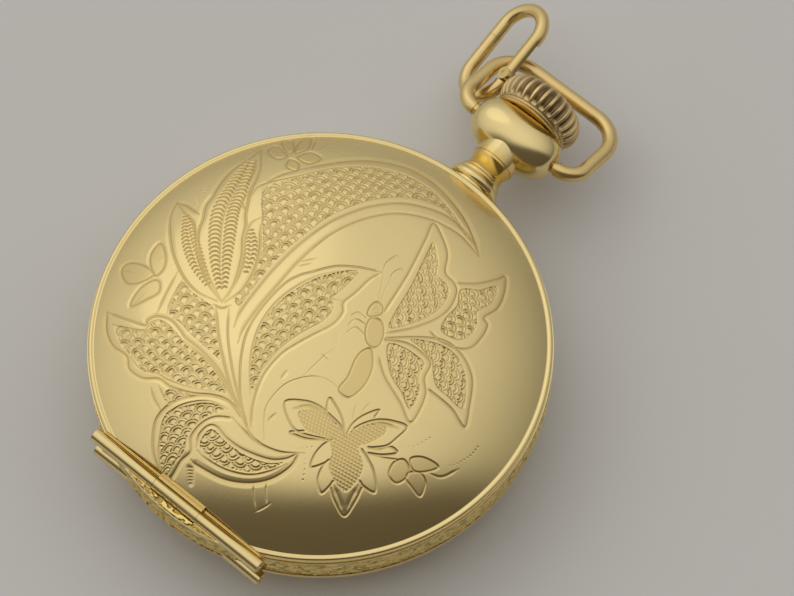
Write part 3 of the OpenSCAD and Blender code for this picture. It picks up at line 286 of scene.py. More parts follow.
def curve(points, closed=False, step=CELL):
    """A smooth curve on the lid through points of the photograph's frame, as evenly spaced points."""
    p = on_lid(points)
    if closed:
        ring = np.vstack([p[-1:], p, p[:2]])
    else:
        ring = np.vstack([2 * p[:1] - p[1:2], p, 2 * p[-1:] - p[-2:-1]])
    t = np.linspace(0, 1, CURVE_STEPS, endpoint=False)[:, None]
    parts = []
    for a, b, c, d in zip(ring[:-3], ring[1:-2], ring[2:-1], ring[3:]):
        parts.append(0.5 * (2 * b + (c - a) * t + (2 * a - 5 * b + 4 * c - d) * t ** 2
                            + (3 * b - a - 3 * c + d) * t ** 3))
    parts.append(ring[-2:-1])
    return spaced(np.vstack(parts), step)


def spaced(path, step):
    """A path's points set evenly, about a step apart."""
    length = np.concatenate([[0], np.cumsum(np.linalg.norm(np.diff(path, axis=0), axis=1))])
    at = np.linspace(0, length[-1], max(int(length[-1] / step), 1) + 1)
    return np.stack([np.interp(at, length, path[:, k]) for k in (0, 1)], 1)


def cells_inside(points):
    """Cells of the raster inside a closed curve through the points."""
    path = (curve(points, closed=True, step=4 * CELL) + LID_R) / CELL
    lo = np.maximum(np.floor(path.min(0)).astype(int), 0)
    hi = np.minimum(np.ceil(path.max(0)).astype(int), SIDE - 1)
    y, x = np.mgrid[lo[1]:hi[1] + 1, lo[0]:hi[0] + 1]
    odd = np.zeros(x.shape, bool)
    for (x0, y0), (x1, y1) in zip(path, np.roll(path, -1, 0)):
        if y0 != y1:
            crosses = (y0 <= y) != (y1 <= y)
            odd ^= crosses & (x < x0 + (y - y0) * (x1 - x0) / (y1 - y0))
    mask = np.zeros((SIDE, SIDE), bool)
    mask[lo[1]:hi[1] + 1, lo[0]:hi[0] + 1] = odd
    return mask


class Engraving:
    """Cuts on the lid: depth in millimetres below the dome, and tone from 0, polished, to 1, matted."""

    def __init__(self):
        self.depth = np.zeros((SIDE, SIDE), np.float32)
        self.tone = np.zeros((SIDE, SIDE), np.float32)

    def stamp(self, path, half, depth, tone=0.0):
        """V-shaped cuts round each point of a path; their half width and depth may vary along it."""
        half = np.broadcast_to(np.asarray(half, float), len(path))
        depth = np.broadcast_to(np.asarray(depth, float), len(path))
        reach = int(half.max() / CELL) + 2
        offset = np.arange(-reach, reach + 1)
        dy, dx = np.meshgrid(offset, offset, indexing="ij")
        at = (path + LID_R) / CELL
        base = np.floor(at).astype(int)
        rows = np.clip(base[:, 1, None, None] + dy, 0, SIDE - 1)
        cols = np.clip(base[:, 0, None, None] + dx, 0, SIDE - 1)
        gap = np.hypot(cols - at[:, 0, None, None], rows - at[:, 1, None, None]) * CELL
        share = np.clip(1 - gap / half[:, None, None], 0, 1)
        np.maximum.at(self.depth, (rows, cols), (share * depth[:, None, None]).astype(np.float32))
        if tone:
            np.maximum.at(self.tone, (rows, cols), (np.minimum(share * 2, 1) * tone).astype(np.float32))

    def cut(self, points, half, depth, closed=False, taper=0.25):
        """A graver's line that thins out over a share of its length at each end."""
        path = curve(points, closed)
        t = np.linspace(0, 1, len(path))
        swell = np.ones(len(path)) if closed else np.clip(np.minimum(t, 1 - t) / taper, THIN_END, 1)
        width = GRAVER_WIDTH * half * (0.5 + 0.5 * swell)
        self.stamp(path, width, GRAVER_DEPTH * depth * swell, tone=LINE_TONE)
        if half > BOLD:
            width = BEVEL_WIDTH * half * (0.3 + 0.7 * swell)
            self.stamp(path, width, BEVEL_DEPTH * depth * swell)

    def cuts(self, half, depth, *lines, **shape):
        """Several lines of one half width and depth."""
        for points in lines:
            self.cut(points, half, depth, **shape)

    def dots(self, points, gap, half, depth=0.05):
        """Punched dots that shrink towards the start of a path."""
        path = curve(points, step=gap)
        t = np.linspace(0.6, 1, len(path))
        self.stamp(path, half * t, depth * t)

    def ground(self, mask, depth, tone):
        """Sinks and tones cells where they are not yet deeper or darker."""
        self.depth[mask] = np.maximum(self.depth[mask], depth)
        self.tone[mask] = np.maximum(self.tone[mask], tone)

    def scales(self, points, facing, width=1.4, but=()):
        """Fills an outline with rows of overlapping fans of cut arcs, arched to an angle of the picture."""
        mask = cells_inside(points)
        for hole in but:
            mask &= ~cells_inside(hole)
        rows, cols = np.nonzero(mask)
        x, y = cols * CELL - LID_R, rows * CELL - LID_R
        a = math.radians(facing - 90) + VIEW_AZIMUTH
        s, t = x * math.cos(a) + y * math.sin(a), y * math.cos(a) - x * math.sin(a)
        # A hand-cut row wanders a little
        s = s + 0.08 * np.sin(1.7 * t + 0.6) + 0.05 * np.sin(4.1 * s + t)
        t = t + 0.09 * np.sin(1.3 * s) + 0.05 * np.sin(3.7 * t)
        radius, rise = width / 2, width * FAN_RISE
        low = np.floor((t - radius) / rise)
        found = np.full(len(s), -1.0)
        above = np.zeros(len(s))
        grain = np.zeros(len(s))
        for k in range(FAN_ROWS):
            row = low + k
            shift = 0.5 * (row % 2)
            col = np.round(s / width - shift)
            rho = np.hypot(s - (col + shift) * width, t - row * rise) / radius
            new = (found < 0) & (rho <= FAN_EDGE)
            found = np.where(new, rho, found)
            above = np.where(new, (t - row * rise) / radius, above)
            grain = np.where(new, np.sin(col * 12.9 + row * 78.2) * 0.5 + 0.5, grain)
        arcs = np.zeros(len(s))
        for at in FAN_ARCS:
            arcs = np.maximum(arcs, np.clip(1 - np.abs(found - at) / ARC_HALF, 0, 1))
        arcs *= np.clip((above - FAN_FOOT) / FAN_FADE, 0, 1)
        slope = FAN_SLOPE * np.clip(0.5 - 0.5 * above, 0, 1)
        self.ground((rows, cols), FAN_SINK + arcs * (ARC_DEPTH + ARC_DEPTH_SPREAD * grain) + slope,
                    FAN_TONE + ARC_TONE * arcs * (0.45 + 0.55 * grain))

    def hatch(self, points, headings, gap):
        """Fine parallel cuts inside an outline, one set for each heading."""
        rows, cols = np.nonzero(cells_inside(points))
        x, y = cols * CELL - LID_R, rows * CELL - LID_R
        lines = np.zeros(len(x))
        for angle in headings:
            a = math.radians(angle)
            phase = ((y * math.cos(a) - x * math.sin(a)) / gap) % 1
            lines = np.maximum(lines, np.clip(1 - np.abs(phase - 0.5) / HATCH_HALF, 0, 1))
        self.ground((rows, cols), HATCH_SINK + HATCH_DEPTH * lines, HATCH_GROUND + HATCH_TONE * lines)

    def matt(self, points, tone, sink):
        """A plain matted ground, slightly sunk."""
        self.ground(cells_inside(points), sink, tone)

    def ribs(self, spine, reach, gap):
        """Two columns of short arched cuts beside a spine that runs from the tip down."""
        path = curve(spine, step=gap)
        along = np.gradient(path, axis=0)
        along /= np.linalg.norm(along, axis=1)[:, None]
        across = np.stack([-along[:, 1], along[:, 0]], 1)
        swell = np.sin(np.linspace(RIB_TAPER, math.pi - RIB_TAPER, len(path)))
        for side in (1, -1):
            for p, d, n, w in zip(path, along, across, swell):
                middle, half = RIB_AT * reach * w, RIB_HALF * reach * w
                arch = p + np.outer(side * (middle + half * np.cos(RIB_TURN)), n)
                self.stamp(arch - np.outer(RIB_ARCH * half * np.sin(RIB_TURN), d), *RIB_CUT, tone=RIB_TONE)

    def sample(self, x, y):
        """Depth and tone at points of the lid."""
        at_x = np.clip((x + LID_R) / CELL, 0, SIDE - 1.001)
        at_y = np.clip((y + LID_R) / CELL, 0, SIDE - 1.001)
        c, r = at_x.astype(int), at_y.astype(int)
        u, v = at_x - c, at_y - r
        return [(f[r, c] * (1 - u) + f[r, c + 1] * u) * (1 - v)
                + (f[r + 1, c] * (1 - u) + f[r + 1, c + 1] * u) * v for f in (self.depth, self.tone)]


# Motifs, each drawn through points of the photograph's frame and cut to a half width and a depth
TULIP_BASE = (222, 302)
TULIP_TIP = (261, 150)
TULIP_LEFT = [
    TULIP_TIP, (250, 158), (233, 169), (225, 177), (217, 188), (213, 195), (206, 205), (203, 218),
    (199, 229), (198, 241), (200, 253), (207, 273), TULIP_BASE]
TULIP_RIGHT = [
    TULIP_TIP, (261, 164), (258, 175), (251, 190), (248, 203), (246, 214), (246, 225), (243, 238),
    (242, 256), (237, 275), (231, 289), TULIP_BASE]
TULIP_MIDRIB = [(248, 164), (236, 190), (224, 214), (220, 256), (222, 290)]
TULIP_SPINE = [(250, 163), (236, 190), (225, 214), (221, 256), (222, 288)]
TULIP_GLINT_HIGH = [(256, 160), (253, 172), (247, 184)]
TULIP_GLINT_LOW = [(250, 190), (243, 200), (246, 212)]
LEFT_PETAL_TIP = (177, 202)
LEFT_PETAL_OUT = [LEFT_PETAL_TIP, (170, 217), (170, 236), (174, 256), (184, 277), (198, 292), (217, 301)]
LEFT_PETAL_IN = [LEFT_PETAL_TIP, (184, 212), (193, 222), (196, 240), (199, 260), (208, 283), (220, 300)]
LEFT_PETAL_FOLD = [LEFT_PETAL_TIP, (188, 206), (199, 214)]
LEFT_PETAL_SPINE = [(186, 216), (190, 240), (198, 264), (208, 284)]
RIGHT_PETAL_TIP = (264, 216)
RIGHT_PETAL_OUT = [RIGHT_PETAL_TIP, (261, 228), (260, 248), (255, 268), (243, 289), (225, 302)]
RIGHT_PETAL_IN = [RIGHT_PETAL_TIP, (251, 223), (244, 240), (244, 258), (238, 277), (228, 296)]
RIGHT_PETAL_SPINE = [(251, 230), (251, 250), (246, 272)]
STEM_LEFT = [(216, 306), (219, 337), (225, 366), (232, 391), (244, 422)]
STEM_RIGHT = [(229, 308), (228, 337), (233, 372), (240, 402), (249, 433)]
STEM_COLLAR = [(213, 304), (222, 308), (231, 305)]


def engrave_tulip(e):
    e.cuts(0.15, 0.07, TULIP_LEFT, TULIP_RIGHT, LEFT_PETAL_OUT, LEFT_PETAL_IN)
    e.cuts(0.15, 0.07, RIGHT_PETAL_OUT, RIGHT_PETAL_IN)
    e.cut(LEFT_PETAL_FOLD, 0.13, 0.06)
    e.cut(TULIP_MIDRIB, 0.06, 0.04)
    e.cut(TULIP_GLINT_HIGH, 0.16, 0.045)
    e.cut(TULIP_GLINT_LOW, 0.14, 0.04)
    e.ribs(TULIP_SPINE, 1.25, gap=0.42)
    e.ribs(LEFT_PETAL_SPINE, 0.75, gap=0.4)
    e.ribs(RIGHT_PETAL_SPINE, 0.6, gap=0.4)
    e.cut(STEM_LEFT, 0.14, 0.06, taper=0.1)
    e.cut(STEM_RIGHT, 0.1, 0.05, taper=0.1)
    e.cut(STEM_COLLAR, 0.1, 0.045)


# The crescent behind the tulip, and its horn on the left between the tulip and the leaf
CRESCENT_OUT = [
    (302, 169), (330, 163), (362, 160), (390, 163), (415, 171), (440, 188), (462, 214), (474, 238),
    (479, 256)]
CRESCENT_START = [(262, 185), (282, 174), (302, 169)]
CRESCENT_BORDER = [
    (252, 195), (262, 184), (300, 175), (340, 167), (378, 168), (410, 177), (436, 194), (458, 220),
    (472, 244)]
CRESCENT_IN = [
    (234, 327), (241, 311), (255, 292), (275, 268), (301, 243), (330, 222), (354, 211), (375, 205),
    (407, 203), (443, 213), (464, 229), (476, 246)]
CRESCENT_HEM = [
    (238, 343), (244, 328), (259, 307), (276, 287), (300, 260), (328, 236), (354, 222), (378, 215),
    (400, 213), (425, 217), (443, 224), (462, 236), (479, 256)]
CRESCENT_FIELD = [
    (262, 200), (268, 186), (302, 176), (330, 169), (362, 167), (390, 170), (412, 178), (434, 193),
    (455, 216), (468, 238), (443, 208), (407, 197), (375, 199), (354, 205), (330, 216), (301, 237),
    (275, 261), (255, 285), (240, 305), (236, 296), (252, 278), (262, 250), (263, 226)]
HORN_FIELD = [
    (182, 282), (192, 292), (206, 302), (214, 310), (217, 338), (222, 360), (205, 346), (190, 333),
    (180, 322), (170, 315), (172, 302)]
HORN_STEM = [(216, 304), (230, 306), (230, 372), (221, 362)]
HORN_OUT = [(178, 271), (170, 285), (162, 301), (156, 315)]
HORN_IN = [(184, 277), (176, 291), (169, 305), (167, 314)]
HORN_END_OUT = [(151, 388), (154, 399), (161, 411)]
HORN_END_IN = [(159, 386), (163, 396), (168, 404)]
HORN_END_FIELD = [(170, 389), (190, 394), (181, 399), (170, 404), (164, 398)]


def engrave_crescent(e):
    e.scales(CRESCENT_FIELD, 102)
    e.cut(CRESCENT_OUT, 0.16, 0.06, taper=0.08)
    e.cut(CRESCENT_BORDER, 0.09, 0.04, taper=0.05)
    e.cut(CRESCENT_IN, 0.13, 0.06, taper=0.06)
    e.cut(CRESCENT_HEM, 0.11, 0.055, taper=0.06)
    e.scales(HORN_FIELD, 100, but=[HORN_STEM])
    e.scales(HORN_END_FIELD, 100, width=1.2)
    e.cuts(0.13, 0.05, CRESCENT_START, HORN_END_OUT)
    e.cut(HORN_OUT, 0.13, 0.055)
    e.cut(HORN_IN, 0.09, 0.045)
    e.cut(HORN_END_IN, 0.1, 0.045)


LEAF_UPPER = [
    (107, 312), (123, 318), (144, 325), (147, 320), (157, 316), (171, 320), (181, 331), (186, 338),
    (202, 351), (219, 370), (232, 393), (244, 415)]
LEAF_LOWER = [
    (107, 312), (106, 329), (112, 345), (126, 356), (129, 369), (142, 378), (159, 379), (171, 387),
    (192, 393), (213, 395), (229, 401), (246, 418)]
LEAF_FIELD = [
    (116, 326), (142, 332), (152, 324), (162, 321), (175, 331), (186, 345), (202, 357), (216, 374),
    (227, 392), (210, 389), (192, 387), (174, 380), (160, 373), (143, 371), (136, 360), (122, 346)]
LEAF_UPPER_HEM = [(112, 324), (128, 328), (144, 330), (150, 323), (160, 320), (170, 326)]
LEAF_LOWER_HEM = [(130, 355), (139, 368), (158, 374), (168, 380), (192, 388), (215, 391)]
LEAF_VEIN = [(184, 341), (200, 354), (213, 366), (224, 384), (232, 399)]


def engrave_left_leaf(e):
    e.scales(LEAF_FIELD, 82, width=1.35)
    e.cut(LEAF_UPPER, 0.13, 0.06, taper=0.04)
    e.cut(LEAF_LOWER, 0.14, 0.06, taper=0.04)
    e.cut(LEAF_UPPER_HEM, 0.08, 0.045)
    e.cut(LEAF_LOWER_HEM, 0.09, 0.045)
    e.cut(LEAF_VEIN, 0.13, 0.055)


CURL_OUT = [
    (244, 421), (231, 403), (213, 396), (194, 396), (173, 402), (158, 416), (153, 433), (154, 456),
    (165, 487)]
CURL_IN = [(165, 487), (173, 475), (181, 461), (190, 452), (191, 437), (201, 424), (215, 417), (233, 418)]
CURL_FIELD = [
    (167, 413), (186, 406), (208, 403), (224, 409), (205, 417), (193, 428), (186, 441), (184, 451),
    (174, 465), (165, 477), (160, 455), (161, 433)]
CURL_HEM = [(164, 480), (159, 458), (160, 437), (165, 418), (182, 405), (208, 401), (228, 409)]
TURN_UPPER = [
    (196, 447), (199, 435), (208, 426), (217, 427), (228, 439), (244, 450), (268, 459), (285, 459),
    (299, 453)]
TURN_LOWER = [(299, 453), (290, 467), (271, 479), (248, 483), (223, 479), (198, 466), (191, 460)]
TURN_FIELD = [
    (200, 446), (205, 434), (213, 430), (226, 442), (244, 455), (266, 463), (284, 463), (262, 471),
    (246, 472), (226, 467), (209, 457)]
TURN_HEM = [(287, 464), (268, 472), (248, 475), (226, 470), (206, 459), (197, 450)]
TURN_FOLD = [(232, 417), (243, 429), (257, 442), (280, 452), (305, 453)]
TURN_CREASE = [(244, 423), (254, 438), (266, 446)]
# Short bars under the curled leaf: first bar's ends, and the shift of each end from bar to bar
BARS = 6
BAR_LEFT = (187, 467)
BAR_RIGHT = (194, 468)
BAR_LEFT_SHIFT = 0.6
BAR_RIGHT_SHIFT = 0.4
BAR_GAP = 3.2


def engrave_curled_leaf(e):
    e.scales(CURL_FIELD, 112, width=1.3)
    e.cut(CURL_OUT, 0.15, 0.065, taper=0.04)
    e.cut(CURL_IN, 0.14, 0.06, taper=0.04)
    e.cut(CURL_HEM, 0.09, 0.05)
    e.scales(TURN_FIELD, -98, width=1.4)
    e.cut(TURN_UPPER, 0.12, 0.06, taper=0.05)
    e.cut(TURN_LOWER, 0.16, 0.065, taper=0.05)
    e.cut(TURN_HEM, 0.11, 0.05)
    e.cut(TURN_FOLD, 0.1, 0.05)
    e.cut(TURN_CREASE, 0.07, 0.04)
    for k in range(BARS):
        left = (BAR_LEFT[0] + k * BAR_LEFT_SHIFT, BAR_LEFT[1] + k * BAR_GAP)
        right = (BAR_RIGHT[0] - k * BAR_RIGHT_SHIFT, BAR_RIGHT[1] + k * BAR_GAP)
        e.cut([left, right], 0.12, 0.05)


CENTRE_LEFT = [
    (249, 433), (241, 402), (240, 376), (242, 352), (248, 330), (263, 306), (284, 284), (300, 275),
    (311, 272), (336, 266), (359, 267), (383, 272)]
CENTRE_RIGHT = [
    (383, 272), (371, 278), (356, 292), (344, 302), (343, 312), (333, 324), (312, 335), (296, 344),
    (280, 355), (263, 376), (253, 404), (251, 427)]
CENTRE_FIELD = [
    (252, 390), (251, 365), (255, 342), (263, 322), (278, 303), (298, 288), (320, 277), (345, 271),
    (359, 272), (345, 285), (333, 297), (333, 308), (326, 317), (310, 326), (292, 337), (275, 352),
    (262, 369)]
CENTRE_LEFT_HEM = [
    (250, 395), (250, 365), (254, 341), (262, 321), (277, 301), (298, 285), (320, 275), (340, 271)]
CENTRE_RIGHT_HEM = [
    (333, 298), (333, 309), (325, 319), (309, 328), (291, 339), (274, 354), (261, 372), (255, 390)]
CENTRE_TIP_HEM = [(359, 272), (345, 286), (333, 297), (343, 301)]
TENDRIL = [(264, 440), (264, 418), (268, 403), (284, 385), (305, 377), (325, 378), (341, 389)]
TENDRIL_TWIG = [(302, 377), (323, 357), (333, 349)]
TENDRIL_THORN = [(321, 353), (329, 360)]
TENDRIL_DOTS = [(333, 349), (337, 342), (338, 334)]
TENDRIL_LEAVES = ([(281, 378), (287, 370)], [(268, 420), (276, 413)])
LEAF_SHADE = ([(296, 262), (318, 258)], [(298, 266), (312, 263)])


def engrave_centre_leaf(e):
    e.scales(CENTRE_FIELD, 106, width=1.35)
    e.cut(CENTRE_LEFT, 0.1, 0.055, taper=0.03)
    e.cut(CENTRE_RIGHT, 0.11, 0.055, taper=0.03)
    e.cuts(0.08, 0.045, CENTRE_LEFT_HEM, CENTRE_RIGHT_HEM)
    e.cut(CENTRE_TIP_HEM, 0.07, 0.045)
    e.cut(TENDRIL, 0.06, 0.035)
    e.cuts(0.05, 0.03, TENDRIL_TWIG, TENDRIL_THORN)
    e.dots(TENDRIL_DOTS, gap=0.3, half=0.09)
    e.cuts(0.12, 0.04, *TENDRIL_LEAVES)
    e.cuts(0.06, 0.03, *LEAF_SHADE)


THORAX = [(374, 318), (382, 322), (384, 333), (380, 344), (373, 347), (367, 341), (366, 330), (369, 321)]
HEAD = [(377, 302), (383, 306), (382, 313), (374, 316), (368, 314), (371, 306)]
HEAD_EYE = [(372, 311), (377, 307), (379, 312), (374, 313)]
ABDOMEN = [
    (371, 349), (373, 360), (371, 373), (363, 387), (350, 397), (341, 393), (340, 387), (348, 377),
    (356, 359), (363, 351)]
LEGS = (
    [(367, 318), (359, 312), (351, 315)],
    [(366, 324), (356, 319), (348, 325)],
    [(365, 334), (356, 327), (347, 332)])
FEELERS = ([(378, 302), (381, 288), (383, 274)], [(380, 302), (385, 290), (390, 280)])
FEELER_TIPS = (
    [(383, 271), (387, 262), (397, 255), (399, 258)],
    [(390, 279), (394, 272), (402, 268), (403, 271)])
WING_TOP = [
    (382, 315), (407, 276), (425, 241), (434, 223), (443, 237), (448, 254), (446, 272), (455, 283),
    (457, 293), (450, 308), (436, 319), (412, 328), (386, 333)]
WING_TOP_FIELD = [
    (394, 315), (412, 285), (428, 252), (434, 243), (438, 262), (437, 274), (446, 284), (449, 292),
    (442, 305), (428, 316), (405, 325), (390, 327)]
WING_SIDE = [
    (457, 283), (479, 283), (498, 279), (506, 277), (505, 293), (498, 308), (485, 317), (488, 325),
    (483, 336), (472, 347), (457, 348), (440, 340), (430, 331)]
WING_SIDE_FIELD = [
    (461, 290), (480, 290), (497, 287), (492, 302), (478, 311), (477, 324), (470, 335), (457, 339),
    (442, 330), (447, 317), (458, 305)]
WING_LOW = [
    (384, 338), (422, 337), (446, 341), (461, 353), (470, 368), (473, 383), (470, 406), (465, 427),
    (453, 410), (440, 398), (427, 388)]
WING_LOW_FIELD = [
    (412, 339), (440, 345), (456, 356), (464, 371), (466, 385), (463, 408), (448, 396), (436, 384),
    (432, 362), (422, 348)]
WING_LEFT = [
    (382, 339), (407, 343), (424, 354), (431, 364), (425, 378), (426, 394), (419, 412), (410, 422),
    (401, 403), (386, 378), (379, 357)]
WING_LEFT_FIELD = [
    (388, 345), (404, 348), (420, 359), (424, 365), (419, 376), (419, 392), (410, 408), (402, 392),
    (391, 373)]
# Each wing's outline, its field, and the way that its scales face
WINGS = ((WING_TOP, WING_TOP_FIELD, 8), (WING_SIDE, WING_SIDE_FIELD, 40),
         (WING_LOW, WING_LOW_FIELD, -10), (WING_LEFT, WING_LEFT_FIELD, -15))


def engrave_butterfly(e):
    for outline, field, facing in WINGS:
        e.scales(field, facing, width=1.25)
        e.cut(outline, 0.11, 0.06, taper=0.02)
        e.cut(field, 0.06, 0.04, closed=True)
    for part, tone in ((THORAX, 0.3), (ABDOMEN, 0.3), (HEAD, 0.2)):
        e.matt(part, tone, 0.025)
        e.cut(part, 0.1, 0.055, closed=True)
    e.cut(HEAD_EYE, 0.06, 0.04)
    e.cuts(0.055, 0.04, *LEGS, taper=0.05)
    e.cuts(0.055, 0.04, *FEELER_TIPS)
    e.cuts(0.035, 0.015, *FEELERS)


LOTUS_HEART = [
    (298, 413), (312, 410), (328, 416), (340, 428), (345, 437), (352, 431), (370, 424), (386, 426),
    (384, 435), (370, 443), (359, 448), (363, 466), (358, 480), (345, 492), (334, 480), (329, 466),
    (332, 450), (326, 438), (308, 431)]
LOTUS_PETALS = (
    [(330, 440), (301, 433), (290, 422), (285, 402), (305, 401), (319, 406), (329, 414), (341, 426),
     (345, 436)],
    [(330, 440), (309, 439), (298, 436), (290, 432), (305, 431)],
    [(327, 413), (327, 406), (330, 398), (337, 407), (343, 420), (345, 436)],
    [(346, 436), (352, 425), (363, 416), (379, 410), (374, 418)],
    [(352, 430), (363, 424), (377, 420), (392, 421), (407, 427), (396, 439), (386, 446), (369, 448)],
    [(367, 447), (380, 449), (391, 447), (397, 453), (382, 455), (367, 453)],
    [(361, 448), (368, 459), (374, 473), (375, 492), (364, 487), (359, 480)],
    [(363, 486), (355, 502), (344, 516), (334, 500), (330, 486)],
    [(330, 459), (323, 466), (318, 479), (321, 493), (329, 487), (334, 480)],
    [(335, 438), (323, 445), (314, 456), (311, 467), (323, 464), (329, 460)])
LOTUS_LEFT_SHINE = [(294, 408), (310, 406), (326, 414)]
LOTUS_RIGHT_SHINE = [(398, 428), (386, 424), (374, 423)]
LOTUS_LOW_VEINS = ([(346, 512), (351, 499), (358, 486)], [(334, 486), (339, 499), (343, 512)])
LOTUS_RAYS = ([(352, 419), (356, 404)], [(360, 414), (370, 402)])
LOTUS_RIGHT_DOTS = [(400, 447), (415, 446), (430, 438)]
LOTUS_LEFT_DOTS = ([(304, 449), (305, 465), (303, 480)], [(288, 447), (298, 449), (312, 447)])


def engrave_lotus(e):
    e.hatch(LOTUS_HEART, (12, 118), gap=0.3)
    e.cuts(0.1, 0.055, *LOTUS_PETALS, taper=0.03)
    e.cut(LOTUS_LEFT_SHINE, 0.2, 0.04)
    e.cut(LOTUS_RIGHT_SHINE, 0.16, 0.04)
    e.cuts(0.12, 0.05, *LOTUS_LOW_VEINS)
    e.cuts(0.04, 0.025, *LOTUS_RAYS)
    e.dots(LOTUS_RIGHT_DOTS, gap=0.36, half=0.1)
    for path in LOTUS_LEFT_DOTS:
        e.dots(path, gap=0.4, half=0.1)


BUD_LOBES = (
    [(404, 460), (394, 463), (389, 475), (396, 483), (405, 479), (409, 470)],
    [(411, 459), (424, 458), (438, 467), (424, 472), (413, 470)],
    [(409, 473), (420, 473), (425, 483), (420, 496), (411, 486), (406, 479)])
BUD_TWIG = [(428, 473), (442, 477), (459, 469)]
BUD_STEM = [(370, 454), (385, 458), (402, 460)]
BUD_DOTS = [(450, 466), (457, 464), (470, 456), (478, 447)]
LEFT_FLOWER = (
    [(150, 265), (151, 253), (160, 243), (165, 255), (163, 268), (155, 275)],
    [(153, 274), (143, 265), (129, 263), (121, 270), (126, 282), (139, 282)],
    [(153, 280), (141, 287), (132, 299), (131, 306), (146, 299), (158, 292), (159, 282)])
LEFT_FLOWER_TIP = 3
TOP_FLOWER = (
    [(287, 155), (276, 146), (268, 151), (277, 158)],
    [(288, 152), (282, 143), (292, 141), (294, 150)],
    [(296, 152), (300, 142), (311, 138), (308, 148)],
    [(298, 157), (310, 152), (321, 158), (309, 163)],
    [(290, 159), (299, 163), (296, 170), (287, 166)])
TOP_THORN = [(312, 150), (316, 141)]
TOP_TWIG = [(318, 150), (330, 143), (354, 138)]
TOP_DOTS = [(318, 152), (330, 150), (345, 154)]
LEFT_DOTS = [(148, 230), (146, 244), (143, 256)]
PETAL_DOTS = [(185, 189), (195, 197), (198, 206)]
TULIP_DOTS = [(220, 172), (209, 182), (204, 192)]
RIM_DOTS = [(125, 300), (119, 304)]
LEAF_DOTS = [(143, 385), (138, 391), (134, 398)]
# Lines on the ground under the spray
GROUND_POSTS = ([(253, 483), (254, 496), (256, 509)], [(266, 481), (266, 494), (267, 506)])
GROUND_LINE = [(255, 512), (263, 508), (271, 503)]


def engrave_small_flowers(e):
    for lobe in BUD_LOBES:
        e.matt(lobe, 0.3, 0.025)
        e.cut(lobe, 0.1, 0.055, closed=True)
    e.cut(BUD_TWIG, 0.1, 0.05)
    e.cut(BUD_STEM, 0.07, 0.04)
    for petal in LEFT_FLOWER + TOP_FLOWER:
        e.matt(petal, 0.2, 0.02)
        e.cut(petal, 0.11, 0.06, closed=True)
    for petal in LEFT_FLOWER:
        e.cut([np.mean(petal, 0), petal[LEFT_FLOWER_TIP]], 0.05, 0.035)
    e.cut(TOP_THORN, 0.09, 0.05)
    e.cut(TOP_TWIG, 0.06, 0.035)
    for path, gap, half in ((BUD_DOTS, 0.32, 0.1), (TOP_DOTS, 0.3, 0.08), (LEFT_DOTS, 0.34, 0.09),
                            (PETAL_DOTS, 0.3, 0.1), (TULIP_DOTS, 0.34, 0.09), (RIM_DOTS, 0.3, 0.08),
                            (LEAF_DOTS, 0.3, 0.09)):
        e.dots(path, gap, half)
    e.cuts(0.07, 0.045, *GROUND_POSTS)
    e.cut(GROUND_LINE, 0.08, 0.045)


def engraved_pattern():
    """The whole engraving of the lid."""
    e = Engraving()
    for draw in (engrave_crescent, engrave_left_leaf, engrave_centre_leaf, engrave_curled_leaf,
                 engrave_tulip, engrave_butterfly, engrave_lotus, engrave_small_flowers):
        draw(e)
    return e


# Fineness of the lid's skin and of its inside, and the inside's last two radii
SKIN_CELLS = 780
INNER_RINGS = 13
INNER_LAST_R = 2
INNER_EYE_R = 0.01
EDGE_STEPS = 9
CUT_SLACK = 1e-4

# The lid's texture map: the outside in one corner, the inside and the hinge beside it at a smaller scale
MAP_MARGIN = 0.005
MAP_OUTSIDE = 0.665
MAP_SMALL = 0.3
MAP_INSIDE_AT = (0.69, 0.005)
MAP_HINGE_AT = (0.69, 0.345)


def disc_grid(cells, radius):
    """A square grid folded on to a disc with even cells, as x and y."""
    s = np.linspace(-1, 1, cells)
    a, b = np.meshgrid(s, s)
    wide = np.abs(a) > np.abs(b)
    r = np.where(wide, a, b)
    with np.errstate(divide="ignore", invalid="ignore"):
        turn = np.where(wide, math.pi / 4 * b / a, math.pi / 2 - math.pi / 4 * a / b)
    turn = np.nan_to_num(turn)
    return r * np.cos(turn) * radius, r * np.sin(turn) * radius


def grid_border(n):
    """Indices round the edge of an n by n grid, in order."""
    index = np.arange(n * n).reshape(n, n)
    return np.concatenate([index[0, :-1], index[:-1, -1], index[-1, :0:-1], index[:0:-1, 0]])


def lid_profile():
    """Radius and height from the crease over the rolled edge, under the rim and up inside to the middle."""
    turns = np.radians(np.linspace(EDGE_TURN, 0, EDGE_STEPS))
    edge = np.stack([LID_R - EDGE_R + EDGE_R * np.cos(turns), EDGE_Z + EDGE_R * np.sin(turns)], 1)
    rim = [[LID_R, EDGE_BEVEL], [LID_R - EDGE_BEVEL, 0], [SKIRT_R, 0]]
    inner_r = np.concatenate([np.linspace(SKIRT_R, INNER_LAST_R, INNER_RINGS - 1), [INNER_EYE_R]])
    inner = np.stack([inner_r, dome_height(inner_r, LID_WALL)], 1)
    return np.vstack([edge, rim, inner])


def tube(radius, start, end, axis_y, axis_z, sides=40):
    """Points and quads of a closed cylinder along X, its ends apart so that its edges stay crisp."""
    turn = np.linspace(0, 2 * math.pi, sides, endpoint=False)
    near = np.arange(sides)
    quads = np.stack([near, np.roll(near, -1), np.roll(near, -1) + sides, near + sides], 1)
    stations = ((start, EYE_R), (start, radius), (end, radius), (end, EYE_R))
    rings = [np.stack([np.full(sides, x), axis_y + r * np.cos(turn), axis_z + r * np.sin(turn)], 1)
             for x, r in stations]
    return joined([(np.vstack(pair), quads) for pair in zip(rings[:-1], rings[1:])])


